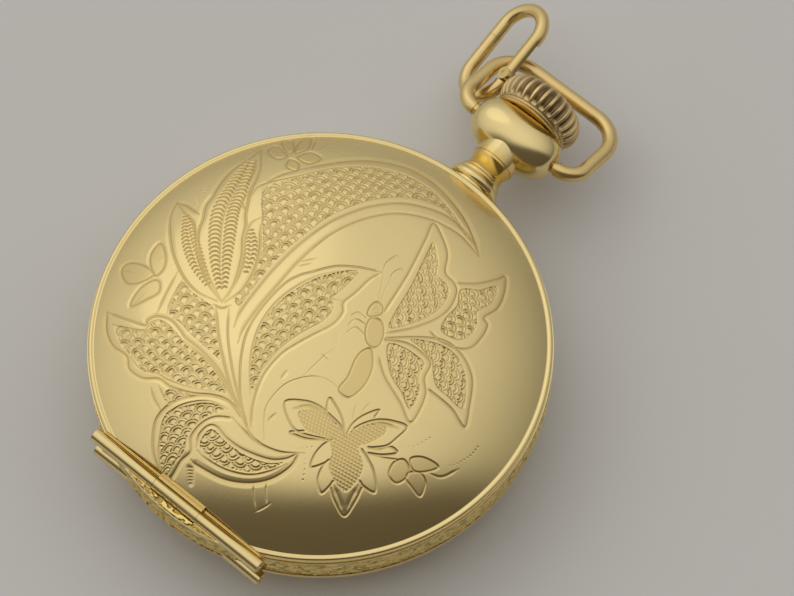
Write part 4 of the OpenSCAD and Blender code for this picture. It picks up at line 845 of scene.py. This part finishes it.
def leaf(start, end, y0, y1, z0, z1):
    """Points and quads of a plain box, each face with its own corners."""
    points = np.array([(x, y, z) for x in (start, end) for y in (y0, y1) for z in (z0, z1)], float)
    quads = np.array([(0, 1, 3, 2), (4, 6, 7, 5), (0, 4, 5, 1), (2, 3, 7, 6), (0, 2, 6, 4), (1, 5, 7, 3)])
    return points[quads].reshape(-1, 3), np.arange(24).reshape(6, 4)


def flat_map(lid, outside, inside):
    """A texture map seen from above: points up to `outside`, points up to `inside`, and the hinge."""
    mesh = lid.data
    points = np.empty(3 * len(mesh.vertices), np.float32)
    mesh.vertices.foreach_get("co", points)
    flat = points.reshape(-1, 3)[:, :2] / (2 * LID_R * MM) + 0.5
    flat[:outside] = MAP_MARGIN + MAP_OUTSIDE * flat[:outside]
    flat[outside:inside] = MAP_INSIDE_AT + MAP_SMALL * flat[outside:inside]
    flat[inside:] = MAP_HINGE_AT + MAP_SMALL * flat[inside:]
    corners = np.empty(len(mesh.loops), np.int32)
    mesh.loops.foreach_get("vertex_index", corners)
    mesh.uv_layers.new(name="OFBake").data.foreach_set("uv", flat[corners].ravel())


def make_front_lid(pattern):
    """The engraved lid: a fine skin over the dome, then its edge, rim and inside, and the hinge knuckle."""
    x, y = disc_grid(SKIN_CELLS, CREASE_R)
    depth, tone = pattern.sample(x, y)
    skin, faces = sheet(np.stack([x, y, LID_Z + dome_height(np.hypot(x, y)) - depth], -1))
    border = grid_border(SKIN_CELLS)
    angle = np.arctan2(skin[border, 1], skin[border, 0])
    verts, quads = [skin], [faces]
    ring, count = border, len(skin)
    for r, z in lid_profile():
        verts.append(np.stack([r * np.cos(angle), r * np.sin(angle), np.full(len(angle), LID_Z + z)], 1))
        new = np.arange(count, count + len(angle))
        quads.append(np.stack([ring, np.roll(ring, -1), np.roll(new, -1), new], 1)[:, ::-1])
        ring, count = new, count + len(angle)
    verts = np.vstack(verts)
    # Past the hinge the lid is cut straight, and its wall follows the cut
    outside = count - INNER_RINGS * len(angle)
    within = np.arange(len(verts)) >= outside
    verts[:, 1] = np.maximum(verts[:, 1], np.where(within, LID_EDGE_WALL - LID_CUT_Y, -LID_CUT_Y))
    verts, quads = joined([
        (verts, np.vstack(quads)),
        tube(KNUCKLE_R, -KNUCKLE_HALF, KNUCKLE_HALF, -HINGE_Y, HINGE_Z),
        leaf(-KNUCKLE_HALF, KNUCKLE_HALF, -HINGE_Y, LEAF_END_Y, LID_Z, LID_Z + LEAF_H)])
    lid = quad_object("engraved_lid", verts, quads)
    # The cut's wall and the hinge are shaded flat
    past_cut = (verts[quads, 1] <= CUT_SLACK - LID_CUT_Y).all(1)
    lid.data.polygons.foreach_set("use_smooth", ~past_cut)
    flat_map(lid, outside, count)
    tones = np.zeros(len(verts))
    tones[:tone.size] = tone.ravel()
    set_tone(lid, tones)
    return lid


# Steps along and round the turned pieces
FLANK_STEPS = 44
TOP_STEPS = 14
FLUTE_STEPS = 22
NECK_STEPS = 420
BULB_STEPS = 90
TURN_STEPS = 120


def turned(r, y, turn, axis_z):
    """A grid of points turned about an axis along Y, with r and y as columns."""
    return np.stack([r * np.cos(turn), y + 0 * turn, axis_z + r * np.sin(turn)], -1)


def make_crown():
    """The fluted crown about the pendant's axis, with a tone that marks the bottoms of its flutes."""
    low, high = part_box("crown")
    base_y, end_y = low.y / MM, high.y / MM
    axis_z = (low.z + high.z) / 2 / MM
    radius = (high.x - low.x) / 2 / MM
    height = end_y - base_y
    swell = np.radians(np.linspace(*CROWN_FLANK, FLANK_STEPS))
    way = np.stack([np.cos(swell), np.sin(swell)], 1)
    flank = np.array([radius - CROWN_ROUND, CROWN_ROUND]) + CROWN_ROUND * way
    edge_r, edge_y = flank[-1]
    top_r = np.linspace(edge_r, EYE_R, TOP_STEPS)[1:]
    top = np.stack([top_r, edge_y + (height - edge_y) * (1 - (top_r / edge_r) ** 2)], 1)
    skirt_r = radius - CROWN_SKIRT
    foot = np.array([(EYE_R, 0), (CROWN_BORE, 0)] + [(skirt_r - inset, y) for inset, y in CROWN_HEM])
    profile = np.vstack([foot, flank, top])
    fluted = slice(len(foot), len(foot) + len(flank))
    normal = np.zeros_like(profile)
    normal[fluted] = way
    share = np.zeros(len(profile))
    angle = np.degrees(swell)
    share[fluted] = np.clip(np.minimum((angle - FLUTE_START) / FLUTE_FADE_IN,
                                       (FLUTE_END - angle) / FLUTE_FADE_OUT), 0, 1)
    turn = np.linspace(0, 2 * math.pi, FLUTES * FLUTE_STEPS, endpoint=False)
    across = np.abs(((turn * FLUTES / (2 * math.pi) + 0.5) % 1) - 0.5) * 2
    groove = np.clip(1 - (across / FLUTE_WIDTH) ** 2, 0, 1) ** FLUTE_POWER
    cut = FLUTE_DEPTH * share[:, None] * groove
    r = profile[:, :1] - normal[:, :1] * cut
    y = base_y + profile[:, 1:] - normal[:, 1:] * cut
    crown = quad_object("fluted_crown", *sheet(turned(r, y, turn, axis_z), closed=True))
    set_tone(crown, share[:, None] * np.clip(groove * FLUTE_TONE - FLUTE_SHINE, 0, 1))
    return crown


def make_pendant():
    """The smooth pendant: rolls, neck and sleeve about Y, and the eared bulb about the bow's pivot."""
    low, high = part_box("pendant")
    axis_z = (low.z + high.z) / 2 / MM
    bulb_half = high.x / MM
    y = np.linspace(BAND_R + PENDANT_SPAN[0], BAND_R + PENDANT_SPAN[1], NECK_STEPS)
    r = np.zeros_like(y)
    for radius, start, end in PENDANT_STEPS:
        r = np.where((y >= BAND_R + start) & (y <= BAND_R + end), np.maximum(r, radius), r)
    for at, along, radius in PENDANT_ROLLS:
        reach = radius ** 2 - (y - BAND_R - along) ** 2
        r = np.maximum(r, np.where(reach > 0, at + np.sqrt(np.maximum(reach, 0)), 0))
    reach = PENDANT_HOLLOW_R ** 2 - (y - BAND_R - PENDANT_HOLLOW_AT) ** 2
    hollow = PENDANT_NECK_R + PENDANT_HOLLOW_R - np.sqrt(np.maximum(reach, 0))
    r = np.where(reach > 0, np.minimum(r, hollow), r)
    turn = np.linspace(0, 2 * math.pi, TURN_STEPS, endpoint=False)
    neck = turned(r[:, None], y[:, None], turn, axis_z)
    along = np.sin(np.linspace(-math.pi / 2, math.pi / 2, BULB_STEPS))
    swell = BULB_R * np.maximum(1 - np.abs(along) ** BULB_POWER, 0) ** (1 / BULB_POWER) + BULB_EYE_R
    bulb = np.stack([along[:, None] * bulb_half + 0 * turn,
                     BAND_R + PIVOT_AT + swell[:, None] * np.cos(turn),
                     axis_z + swell[:, None] * np.sin(turn)], -1)
    bulb[..., 1] = np.minimum(bulb[..., 1], BAND_R + BULB_END)
    pendant = quad_object("turned_pendant", *joined([sheet(neck, closed=True), sheet(bulb, closed=True)]))
    pendant.data.set_sharp_from_angle(angle=SHARP)
    return pendant


# Chasing: steps round and up the band, its scroll, and nuggets as cells round, levels up and weight
BAND_STEPS = 1900
BAND_ROWS = 36
WAVES = 34
STEM_SWING = 0.42
STEM_HALF = 0.2
CURL_LENGTH = 1.9
CURL_HEIGHT = 0.62
CURL_OFF = 0.25
CURL_WIND = 8
CURL_EDGE = 1.25
NUGGETS = ((360, 8, 0.6), (800, 18, 0.4))
NUGGET_GAIN = 2.3
SCROLL_GAIN = 0.55
BAND_LEVEL = 0.34
BAND_EDGE = 0.12
CHASED_TONE = 0.8

# The shelf's steps across and along, its nuggets, and the stretch of them that it shows
SHELF_ROWS = 16
SHELF_STEPS = 190
SHELF_NUGGETS = (34, 3)
SHELF_STRETCH = 3
SHELF_LEVEL = 0.5
SHELF_EDGE = 0.15


def wrapped_noise(rng, cells, levels, angle, height):
    """Soft random bumps round the band, `cells` round it and `levels` up it."""
    seeds = rng.random((levels + 2, cells))
    u = angle * cells / (2 * math.pi)
    v = (height + 1) / 2 * levels
    i, j = u.astype(int), v.astype(int)
    du, dv = u - i, v - j
    du, dv = du * du * (3 - 2 * du), dv * dv * (3 - 2 * dv)
    i0, i1 = i % cells, (i + 1) % cells
    low = seeds[j, i0] * (1 - du) + seeds[j, i1] * du
    high = seeds[j + 1, i0] * (1 - du) + seeds[j + 1, i1] * du
    return low * (1 - dv) + high * dv


def scroll(angle, height):
    """A running stem round the band with a spiral curl in each of its bends."""
    phase = angle * WAVES
    relief = np.clip(1 - np.abs(height - STEM_SWING * np.sin(phase)) / STEM_HALF, 0, 1)
    for side in (-1, 1):
        bend = side * math.pi / 2
        centre = np.round((phase - bend) / (2 * math.pi)) * 2 * math.pi + bend
        along = (phase - centre) / CURL_LENGTH
        across = (height + side * CURL_OFF) / CURL_HEIGHT
        rho, theta = np.hypot(along, across), np.arctan2(across, along)
        spiral = 0.5 + 0.5 * np.cos(theta * side + rho * CURL_WIND)
        relief = np.maximum(relief, spiral * np.clip(CURL_EDGE - rho, 0, 1))
    return relief


def make_band():
    """The chased band, a running scroll on a nuggety ground between plain edges, and the chased shelf."""
    rng = np.random.default_rng(7)
    angle, height = np.meshgrid(np.linspace(0, 2 * math.pi, BAND_STEPS, endpoint=False),
                                np.linspace(-1, 1, BAND_ROWS))
    nuggets = np.zeros_like(angle)
    for cells, levels, weight in NUGGETS:
        nuggets += weight * wrapped_noise(rng, cells, levels, angle, height)
    relief = np.clip(SCROLL_GAIN * scroll(angle, height) + NUGGET_GAIN * (nuggets - 0.5) + BAND_LEVEL, 0, 1)
    edge = np.clip((1 - np.abs(height)) / BAND_EDGE, 0, 1)
    radius = BAND_R - BAND_DEPTH + BAND_SKIN + (BAND_DEPTH - 2 * BAND_SKIN) * relief * edge
    z = (BAND_Z0 + BAND_Z1) / 2 + height * (BAND_Z1 - BAND_Z0) / 2
    points = np.stack([radius * np.cos(angle), radius * np.sin(angle), z], -1)

    across, along = np.meshgrid(np.linspace(0, 1, SHELF_ROWS),
                                np.linspace(-SHELF_HALF, SHELF_HALF, SHELF_STEPS), indexing="ij")
    bumps = wrapped_noise(rng, *SHELF_NUGGETS, (along / SHELF_HALF + 1) * SHELF_STRETCH, across * 2 - 1)
    bumps = np.clip(NUGGET_GAIN * (bumps - 0.5) + SHELF_LEVEL, 0, 1)
    edge = np.clip(np.minimum(across, 1 - across) / SHELF_EDGE, 0, 1)
    reach = np.sqrt(SHELF_OUT ** 2 - along ** 2) - SHELF_IN
    z = SHELF_Z + SHELF_SKIN + SHELF_RELIEF * bumps * edge
    shelf = np.stack([along, -(SHELF_IN + reach * across), z], -1)

    band = quad_object("chased_band", *joined([sheet(points, closed=True), sheet(shelf)]))
    # Tone darkens the low spots of the chasing and the shelf: painted shade in the pits, with tarnish
    set_tone(band, CHASED_TONE * (1 - np.concatenate([relief.ravel(), bumps.ravel()])))
    return band


# Dial print: height of the ink, minute track, Roman numerals with their strokes, and the seconds' track
DIAL_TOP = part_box("dial")[1].z / MM
PRINT_H = 0.012
STROKE_QUADS = np.array([(3, 2, 1, 0), (4, 5, 6, 7), (0, 1, 5, 4),
                         (1, 2, 6, 5), (2, 3, 7, 6), (3, 0, 4, 7)])
TRACK_R = 15.6
TRACK_IN = TRACK_R - 0.55
TRACK_LINE = 0.06
HOUR_LINE = 0.2
ROMAN = ("XII", "I", "II", "III", "IIII", "V", "VI", "VII", "VIII", "IX", "X", "XI")
LETTER_W = {"I": 0.62, "V": 1.3, "X": 1.3}
LETTER_IN = 0.15
NUMERAL_R = 13.1
NUMERAL_H = 2.3
UPRIGHT = 0.32
THICK = 0.34
POINTED = 0.2
THIN = 0.1
SERIF = 0.07
SERIF_IN = 0.05
SECONDS_AT = (8.0, 0.0)
SECONDS_FLOOR = DIAL_TOP - 0.12
SECONDS_R = 4.0
SECONDS_IN = SECONDS_R - 0.4
SECONDS_LONG_IN = SECONDS_R - 0.9
SECONDS_LINE = 0.05
SECONDS_LONG_LINE = 0.08


class Print:
    """Flat enamel print on the dial, as thin raised strokes."""

    def __init__(self):
        self.parts = []

    def stroke(self, a, b, width_a, width_b=None, z=DIAL_TOP):
        """A straight stroke from a to b, as a thin box that may narrow."""
        a, b = np.array(a, float), np.array(b, float)
        n = np.array([a[1] - b[1], b[0] - a[0]])
        n /= np.linalg.norm(n)
        half_a, half_b = width_a / 2, (width_a if width_b is None else width_b) / 2
        flat = np.array([a + n * half_a, b + n * half_b, b - n * half_b, a - n * half_a])
        low = np.hstack([flat, np.full((4, 1), z)])
        high = np.hstack([flat, np.full((4, 1), z + PRINT_H)])
        self.parts.append((np.vstack([low, high]), STROKE_QUADS))

    def circle(self, centre, radius, width, z=DIAL_TOP):
        turn = np.linspace(0, 2 * math.pi, 181)
        p = np.stack([centre[0] + radius * np.cos(turn), centre[1] + radius * np.sin(turn)], 1)
        for a, b in zip(p[:-1], p[1:]):
            self.stroke(a, b, width, z=z)

    def ticks(self, centre, inner, outer, count, width, z=DIAL_TOP):
        for k in range(count):
            d = np.array([math.cos(2 * math.pi * k / count), math.sin(2 * math.pi * k / count)])
            self.stroke(np.add(centre, d * inner), np.add(centre, d * outer), width, z=z)

    def numeral(self, letters, hour):
        """A Roman number standing on its radius, its foot to the centre."""
        turn = math.pi - hour * math.pi / 6
        out = np.array([math.cos(turn), math.sin(turn)])
        side = np.array([out[1], -out[0]])

        def place(u, v):
            return out * (NUMERAL_R + v * NUMERAL_H / 2) + side * u

        wide = sum(LETTER_W[c] for c in letters)
        u = -wide / 2
        for c in letters:
            w = LETTER_W[c]
            m = u + w / 2
            left, right = u + LETTER_IN, u + w - LETTER_IN
            if c == "I":
                self.stroke(place(m, -1), place(m, 1), UPRIGHT)
            elif c == "V":
                self.stroke(place(left, 1), place(m, -1), THICK, POINTED)
                self.stroke(place(right, 1), place(m, -1), THIN)
            else:
                self.stroke(place(left, 1), place(right, -1), THICK)
                self.stroke(place(right, 1), place(left, -1), THIN)
            u += w
        for v in (-1, 1):
            self.stroke(place(-wide / 2 + SERIF_IN, v), place(wide / 2 - SERIF_IN, v), SERIF)


def make_dial_print():
    """Numerals, but for the six under the seconds, and the minute and seconds tracks."""
    ink = Print()
    for hour, letters in enumerate(ROMAN):
        if letters != "VI":
            ink.numeral(letters, hour)
    for radius in (TRACK_R, TRACK_IN):
        ink.circle((0, 0), radius, TRACK_LINE)
    ink.ticks((0, 0), TRACK_IN, TRACK_R, 60, TRACK_LINE)
    ink.ticks((0, 0), TRACK_IN, TRACK_R, 12, HOUR_LINE)
    for radius in (SECONDS_R, SECONDS_IN):
        ink.circle(SECONDS_AT, radius, SECONDS_LINE, SECONDS_FLOOR)
    ink.ticks(SECONDS_AT, SECONDS_IN, SECONDS_R, 60, SECONDS_LINE, SECONDS_FLOOR)
    ink.ticks(SECONDS_AT, SECONDS_LONG_IN, SECONDS_R, 12, SECONDS_LONG_LINE, SECONDS_FLOOR)
    return quad_object("dial_print", *joined(ink.parts), smooth=False)


# Metals: most of the deep colour in the clouds and of the tarnish and painted shade, its roughness, and the
# scratches' depth
CLOUD_SHARE = 0.55
TARNISH_AND_SHADE_SHARE = 0.85
TARNISH_ROUGH = 0.16
SCRATCH_DEPTH = 0.02


def new_material(name):
    """A material with its node tree and shader."""
    material = bpy.data.materials.new(name)
    material.use_nodes = True
    tree = material.node_tree
    return material, tree, tree.nodes["Principled BSDF"]


def add(tree, kind, inputs=None, **settings):
    """A new node with its settings and the values of its inputs."""
    node = tree.nodes.new(kind)
    for key, value in settings.items():
        setattr(node, key, value)
    for key, value in (inputs or {}).items():
        node.inputs[key].default_value = value
    return node


def ramp_between(tree, source, low, high):
    """A map from 0..1 on to low..high."""
    node = add(tree, "ShaderNodeMapRange", {"To Min": low, "To Max": high})
    tree.links.new(source, node.inputs["Value"])
    return node.outputs["Result"]


def mix_colours(tree, factor, first, second):
    """A mix of two colours, each a value or an output."""
    node = add(tree, "ShaderNodeMix", data_type="RGBA")
    for key, value in ((6, first), (7, second)):
        if isinstance(value, tuple):
            node.inputs[key].default_value = value
        else:
            tree.links.new(value, node.inputs[key])
    tree.links.new(factor, node.inputs[0])
    return node.outputs[2]


def metal(name, pale, deep, rough, cloud=90.0, tarnish_and_shade=None):
    """A worn metal: clouded colour, uneven polish, hairline scratches, and tarnish where its tone asks; on
    the chased band that tone also darkens the low spots as painted shade.
    """
    material, tree, shader = new_material(name)
    links = tree.links
    shader.inputs["Metallic"].default_value = 1.0
    place = add(tree, "ShaderNodeTexCoord").outputs["Object"]
    clouds = add(tree, "ShaderNodeTexNoise", {"Scale": cloud, "Detail": 6.0, "Roughness": 0.6})
    links.new(place, clouds.inputs["Vector"])
    colour = mix_colours(tree, ramp_between(tree, clouds.outputs["Fac"], 0.0, CLOUD_SHARE), pale, deep)
    grain = add(tree, "ShaderNodeTexNoise", {"Scale": 2600.0, "Detail": 3.0})
    stretch = add(tree, "ShaderNodeMapping", {"Scale": (1.0, 0.12, 1.0), "Rotation": (0.3, 0.2, 0.7)})
    links.new(place, stretch.inputs["Vector"])
    links.new(stretch.outputs["Vector"], grain.inputs["Vector"])
    polish = ramp_between(tree, clouds.outputs["Fac"], *rough)
    if tarnish_and_shade:
        # Tone mixes in the tarnish colour, which on the chased band is also painted shade in the low spots
        tone = add(tree, "ShaderNodeAttribute", attribute_name="tone").outputs["Fac"]
        colour = mix_colours(tree, ramp_between(tree, tone, 0.0, TARNISH_AND_SHADE_SHARE), colour, tarnish_and_shade)
        rise = add(tree, "ShaderNodeMath", {1: TARNISH_ROUGH}, operation="MULTIPLY_ADD")
        links.new(tone, rise.inputs[0])
        links.new(polish, rise.inputs[2])
        polish = rise.outputs[0]
    links.new(colour, shader.inputs["Base Color"])
    links.new(polish, shader.inputs["Roughness"])
    bump = add(tree, "ShaderNodeBump", {"Strength": 0.15, "Distance": SCRATCH_DEPTH * MM})
    links.new(grain.outputs["Fac"], bump.inputs["Height"])
    links.new(bump.outputs["Normal"], shader.inputs["Normal"])
    return material


def striped(name, pale, deep, bands):
    """A gilt plate with straight damascened stripes."""
    material = metal(name, pale, deep, (0.24, 0.36), cloud=350.0)
    tree = material.node_tree
    place = add(tree, "ShaderNodeTexCoord").outputs["Object"]
    wave = add(tree, "ShaderNodeTexWave", {"Scale": bands, "Distortion": 0.3, "Detail": 1.0},
               bands_direction="DIAGONAL")
    tree.links.new(place, wave.inputs["Vector"])
    polish = ramp_between(tree, wave.outputs["Fac"], 0.2, 0.42)
    tree.links.new(polish, tree.nodes["Principled BSDF"].inputs["Roughness"])
    return material


def shaded_along_y(name, pale, deep, tint, start, end):
    """Gold painted richer in a zone along Y, in millimetres: painted shade where less light reaches it, and
    less polish.
    """
    material = metal(name, pale, deep, (0.1, 0.22), cloud=240.0)
    tree = material.node_tree
    base = tree.nodes["Principled BSDF"].inputs["Base Color"]
    plain = base.links[0].from_socket
    split = add(tree, "ShaderNodeSeparateXYZ")
    tree.links.new(add(tree, "ShaderNodeTexCoord").outputs["Object"], split.inputs[0])
    middle, half = (start + end) / 2 * MM, (end - start) / 2 * MM
    both = add(tree, "ShaderNodeMath", operation="MINIMUM")
    for k, (low, high, first, last) in enumerate(((middle - half, middle, 0.0, 1.0),
                                                  (middle, middle + half, 1.0, 0.0))):
        side = add(tree, "ShaderNodeMapRange",
                   {"From Min": low, "From Max": high, "To Min": first, "To Max": last})
        tree.links.new(split.outputs["Y"], side.inputs["Value"])
        tree.links.new(side.outputs["Result"], both.inputs[k])
    tree.links.new(mix_colours(tree, both.outputs[0], plain, tint), base)
    return material


def mottled(name, pale, deep, scale, detail, rough=None):
    """A material of two mottled colours, with uneven polish if a range is given, and its shader."""
    material, tree, shader = new_material(name)
    place = add(tree, "ShaderNodeTexCoord").outputs["Object"]
    mottle = add(tree, "ShaderNodeTexNoise", {"Scale": scale, "Detail": detail})
    tree.links.new(place, mottle.inputs["Vector"])
    tree.links.new(mix_colours(tree, mottle.outputs["Fac"], pale, deep), shader.inputs["Base Color"])
    if rough:
        tree.links.new(ramp_between(tree, mottle.outputs["Fac"], *rough), shader.inputs["Roughness"])
    return material, shader


def enamel(name, pale, deep):
    """Fired white enamel under a clear coat."""
    material, shader = mottled(name, pale, deep, 220.0, 4.0, (0.06, 0.16))
    shader.inputs["Coat Weight"].default_value = 0.6
    return material


def glassy(name, pale, deep, rough, ior, clear):
    """Glass or a jewel."""
    material, shader = mottled(name, pale, deep, 300.0, 2.0, rough)
    shader.inputs["IOR"].default_value = ior
    shader.inputs["Transmission Weight"].default_value = clear
    return material


def paint(obj, material):
    obj.data.materials.clear()
    obj.data.materials.append(material)


PALE_GOLD = (0.87, 0.71, 0.35, 1)
WARM_GOLD = (0.82, 0.63, 0.27, 1)


def make_materials():
    """Every look by its name: pale and deep colours, range of roughness, and what sets it apart."""
    return {
        "lid": metal("engraved_gold", PALE_GOLD, WARM_GOLD, (0.14, 0.26), tarnish_and_shade=(0.56, 0.37, 0.1, 1)),
        # The band's gold is painted paler than the other gold, as painted light against the dark
        # surroundings it reflects; its tarnish colour darkens the low spots as painted shade and tarnish
        "band": metal("chased_gold", (0.95, 0.77, 0.3, 1), (0.86, 0.62, 0.16, 1), (0.12, 0.22),
                      tarnish_and_shade=(0.26, 0.15, 0.025, 1)),
        "crown": metal("fluted_gold", (0.8, 0.62, 0.32, 1), (0.66, 0.47, 0.2, 1), (0.2, 0.34), cloud=500.0,
                       tarnish_and_shade=(0.11, 0.06, 0.025, 1)),
        "gold": metal("polished_gold", PALE_GOLD, WARM_GOLD, (0.1, 0.22)),
        "worn_gold": metal("worn_gold", (0.84, 0.65, 0.3, 1), (0.72, 0.5, 0.18, 1), (0.16, 0.32),
                           cloud=240.0),
        "gilt": metal("gilt", (0.83, 0.63, 0.28, 1), (0.74, 0.53, 0.2, 1), (0.28, 0.4), cloud=400.0),
        "plate": striped("striped_gilt", (0.84, 0.64, 0.3, 1), (0.76, 0.55, 0.23, 1), 260.0),
        # The pendant's neck is painted richer and darker as painted shade
        "pendant": shaded_along_y("pendant_gold", PALE_GOLD, WARM_GOLD, (0.78, 0.48, 0.06, 1),
                                 BAND_R + PENDANT_SHADE[0], BAND_R + PENDANT_SHADE[1]),
        "steel": metal("polished_steel", (0.62, 0.62, 0.63, 1), (0.5, 0.5, 0.52, 1), (0.12, 0.26),
                       cloud=300.0),
        "blue": metal("blued_steel", (0.05, 0.09, 0.36, 1), (0.03, 0.05, 0.22, 1), (0.14, 0.24),
                      cloud=500.0),
        "enamel": enamel("white_enamel", (0.9, 0.89, 0.84, 1), (0.82, 0.8, 0.73, 1)),
        "black": mottled("black_enamel", (0.01, 0.01, 0.012, 1), (0.03, 0.03, 0.035, 1), 900.0, 3.0,
                         (0.2, 0.4))[0],
        "glass": glassy("crystal_glass", (0.97, 0.99, 0.98, 1), (0.94, 0.97, 0.96, 1), (0.0, 0.03),
                        1.5, 1.0),
        "ruby": glassy("ruby", (0.75, 0.03, 0.12, 1), (0.55, 0.02, 0.08, 1), (0.04, 0.07), 1.76, 0.6),
    }


# Looks by material slot, and by node where they differ from the slot's
SLOT_LOOKS = {"gold": "gold", "hinge_gold": "worn_gold", "glass": "glass", "enamel": "enamel",
              "blued_steel": "blue", "gilt": "gilt", "steel": "steel", "ruby": "ruby"}
NODE_LOOKS = {"bow": "worn_gold", "ring_hook": "worn_gold", "ring_gate": "worn_gold", "pendant": "pendant",
              "main_plate": "plate", "barrel_bridge": "plate", "train_bridge": "plate",
              "balance_cock": "plate", "pallet_bridge": "plate"}


def paint_nodes(looks):
    """Gives every CAD node the look of its name or else of its slot, with crisp edges."""
    for part in frame["record"]["subparts"]:
        name = part["node"]
        paint(nodes[name], looks[NODE_LOOKS.get(name, SLOT_LOOKS[part["material_slot"]])])
        nodes[name].data.shade_smooth()
        nodes[name].data.set_sharp_from_angle(angle=SHARP)


# Light: a soft key lamp in metres and watts, and a sky from low to high, brighter one way and dark another
KEY_AT = (-0.62, 0.2, 0.7)
KEY_AIM = (0, 0, 0.01)
KEY_SIZE = 0.8
KEY_POWER = 0.32
KEY_COLOUR = (1.0, 0.98, 0.94)
SKY_TINT = (1, 0.98, 0.94)
SKY_DULL = (0.16, 0.6)
SKY_BRIGHT = (0.56, 0.96)
BRIGHT_WAY = Vector(-0.87 * RIGHT + 0.5 * UP)
DARK_WAY = Vector((math.sin(VIEW_AZIMUTH), -math.cos(VIEW_AZIMUTH), 0))
DARK_RANGE = (0.2, 0.52)
DARK_SHARE = 0.95
DARK_COLOUR = (0.09, 0.075, 0.06, 1)

# Floor: half its side and its drop under the part in millimetres, and its colours
FLOOR_HALF = 900
FLOOR_DROP = 0.2
FLOOR_PALE = (0.8, 0.79, 0.77, 1)
FLOOR_DEEP = (0.76, 0.75, 0.73, 1)
FLOOR_ROUGH = 0.7


def make_key_lamp():
    data = bpy.data.lights.new("key", "AREA")
    data.shape = "DISK"
    data.size = KEY_SIZE
    data.energy = KEY_POWER
    data.color = KEY_COLOUR
    lamp = bpy.data.objects.new("key", data)
    bpy.context.scene.collection.objects.link(lamp)
    lamp.location = KEY_AT
    lamp.rotation_mode = "QUATERNION"
    lamp.rotation_quaternion = (Vector(KEY_AIM) - Vector(KEY_AT)).to_track_quat("-Z", "Y")


def along_way(tree, place, way, low, high, most, ease):
    """A share from 0 to `most` as a direction turns towards a way, between two cosines."""
    cosine = add(tree, "ShaderNodeVectorMath", {1: way}, operation="DOT_PRODUCT")
    tree.links.new(place, cosine.inputs[0])
    share = add(tree, "ShaderNodeMapRange", {"From Min": low, "From Max": high, "To Max": most},
                interpolation_type=ease)
    tree.links.new(cosine.outputs["Value"], share.inputs["Value"])
    return share.outputs["Result"]


def make_world():
    """A soft studio dome: brighter overhead and on the picture's left, and dark on the camera's side."""
    world = bpy.data.worlds.new("studio")
    bpy.context.scene.world = world
    world.use_nodes = True
    tree = world.node_tree
    links = tree.links
    place = add(tree, "ShaderNodeTexCoord").outputs["Generated"]
    split = add(tree, "ShaderNodeSeparateXYZ")
    links.new(place, split.inputs[0])
    skies = []
    for levels in (SKY_DULL, SKY_BRIGHT):
        height = add(tree, "ShaderNodeValToRGB")
        for element, level in zip(height.color_ramp.elements, levels):
            element.color = [level * tint for tint in SKY_TINT] + [1]
        links.new(split.outputs["Z"], height.inputs["Fac"])
        skies.append(height.outputs["Color"])
    sky = mix_colours(tree, along_way(tree, place, BRIGHT_WAY, -1.0, 1.0, 1.0, "LINEAR"), *skies)
    dark = along_way(tree, place, DARK_WAY, *DARK_RANGE, DARK_SHARE, "SMOOTHSTEP")
    background = tree.nodes["Background"]
    links.new(mix_colours(tree, dark, sky, DARK_COLOUR), background.inputs["Color"])
    background.inputs["Strength"].default_value = 1.0


def make_stage():
    """A plain pale floor, the key lamp and the sky."""
    corners = np.array([(-1, -1, 0), (1, -1, 0), (1, 1, 0), (-1, 1, 0)]) * FLOOR_HALF
    floor = quad_object("floor", corners, np.array([(0, 1, 2, 3)]), smooth=False)
    floor.location.z = -FLOOR_DROP * MM
    material, shader = mottled("pale_floor", FLOOR_PALE, FLOOR_DEEP, 30.0, 5.0)
    shader.inputs["Roughness"].default_value = FLOOR_ROUGH
    paint(floor, material)
    make_key_lamp()
    make_world()


make_camera()
looks = make_materials()
paint_nodes(looks)
make_stage()

lid = make_front_lid(engraved_pattern())
paint(lid, looks["lid"])
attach(lid, "front_lid")
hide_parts("front_lid")

crown = make_crown()
paint(crown, looks["crown"])
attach(crown, "crown")
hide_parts("crown")

pendant = make_pendant()
paint(pendant, looks["pendant"])
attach(pendant, "case")
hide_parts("pendant")

dial_print = make_dial_print()
paint(dial_print, looks["black"])
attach(dial_print, "case")

band = make_band()
paint(band, looks["band"])
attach(band, "case")

bpy.context.scene.view_settings.view_transform = "Standard"
